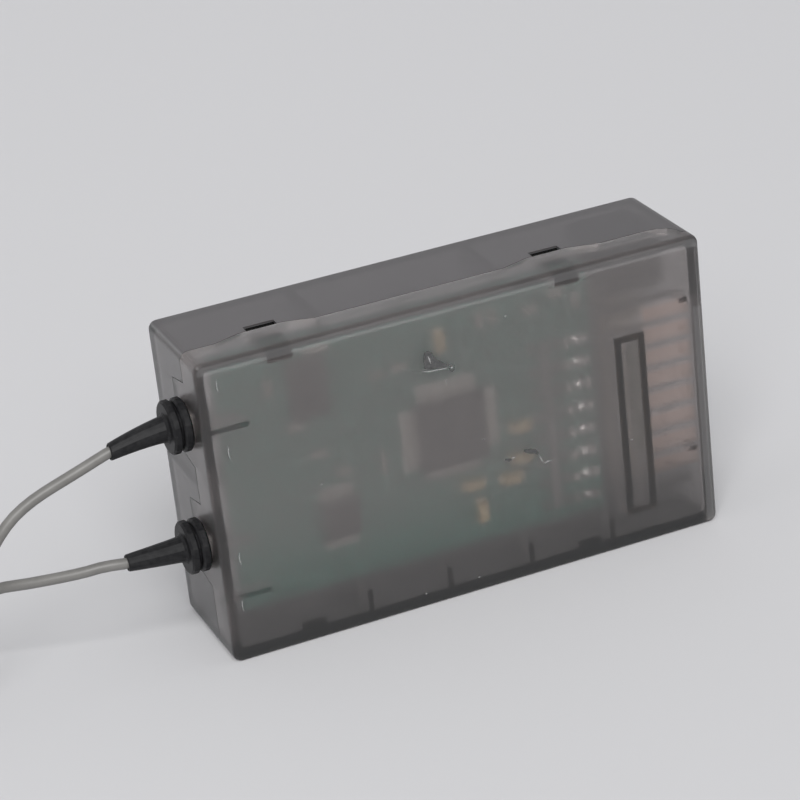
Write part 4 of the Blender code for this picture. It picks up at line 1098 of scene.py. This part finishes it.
for x, z in ((2.1, 30.3), (2.35, 23.1), (1.95, 11.4), (1.55, 6.2)):
    arc = [(x + 0.28 * (1 - math.cos(a)), z + 0.8 * math.sin(a)) for a in (-1.0, -0.4, 0.2, 0.8)]
    pales.append(streak("ejector_arc", arc, 0.08))
for x, z in ((11.4, 16.9), (21.1, 1.5), (27.1, 1.6), (45.6, 12.1)):
    pales.append(streak("speck", [(x, z), (x + 0.1, z + 0.06), (x + 0.2, z + 0.08)], 0.12))
joined("pale_scuffs", pales, PALE_SCUFF)

# %% [markdown]
# ## The floor
#
# The photograph has no horizon: the grey paper runs up behind the object. A plane and a wall would
# meet in a line. A profile with a quarter circle, drawn out sideways, doesn't. Its bend is far
# enough behind the object that a camera behind it still stands on the floor. The paper's colour is
# painted lighter towards the back, as painted light, as the light is in the picture.

# %% Floor
FLOOR_FRONT = -1.2
FLOOR_END = 0.75
FLOOR_SIDE = 1.8
BEND_RADIUS = 0.3
BEND_STEPS = 12
WALL_TOP = 1.6
profile = [(FLOOR_FRONT, 0.0), (FLOOR_END, 0.0)]
for step in range(1, BEND_STEPS + 1):
    angle = math.radians(90 * step / BEND_STEPS)
    rise = BEND_RADIUS * (1 - math.cos(angle))
    profile.append((FLOOR_END + BEND_RADIUS * math.sin(angle), rise))
profile.append((FLOOR_END + BEND_RADIUS, WALL_TOP))
bm = bmesh.new()
rows = [[bm.verts.new((x, y, z)) for y, z in profile] for x in (-FLOOR_SIDE, FLOOR_SIDE)]
for a, b, c, d in zip(rows[0], rows[1], rows[1][1:], rows[0][1:]):
    bm.faces.new((a, b, c, d))
mesh = bpy.data.meshes.new("floor")
bm.to_mesh(mesh)
bm.free()
floor = bpy.data.objects.new("floor", mesh)
scene.collection.objects.link(floor)
mesh.shade_smooth()
paper, tree, shader = new_material("paper", (0.58, 0.58, 0.593), 0.9)
shader.inputs["Specular IOR Level"].default_value = 0.1
# painted light: the paper's colour rises towards the back
painted_light_back = fade(tree, object_axes(tree)[1], -0.1, 0.3, curve="LINEAR")
vary_colour(tree, shader, painted_light_back, [(0.0, (0.57, 0.57, 0.582)), (1.0, (0.67, 0.67, 0.683))])
mesh.materials.append(paper)
print(f"floor: {len(mesh.polygons)} faces, bend of {BEND_RADIUS} m at {FLOOR_END} m")

# %% [markdown]
# ## The light
#
# The photograph was taken in a light tent, which is bright from everywhere. Many lamps could
# imitate it, but the world gives an even light from all sides at once. One large soft box in
# front and to the left adds the direction that the soft shadows show.

# %% Light
world = bpy.data.worlds.new("tent")
scene.world = world
world.use_nodes = True
background = world.node_tree.nodes["Background"]
background.inputs["Color"].default_value = (1.0, 1.0, 1.01, 1.0)
background.inputs["Strength"].default_value = 0.53

lamp_data = bpy.data.lights.new("front_box", "AREA")
lamp_data.shape = "RECTANGLE"
lamp_data.size = 0.9
lamp_data.size_y = 0.8
lamp_data.energy = 18.6
lamp = bpy.data.objects.new("front_box", lamp_data)
lamp.location = (-0.36, -1.02, 0.98)
aim = -Vector(lamp.location)
lamp.rotation_euler = aim.to_track_quat("-Z", "Y").to_euler()
scene.collection.objects.link(lamp)
scene.view_settings.view_transform = "Standard"
print(f"soft box {aim.length:.2f} m from the object, {lamp_data.energy:.1f} W")
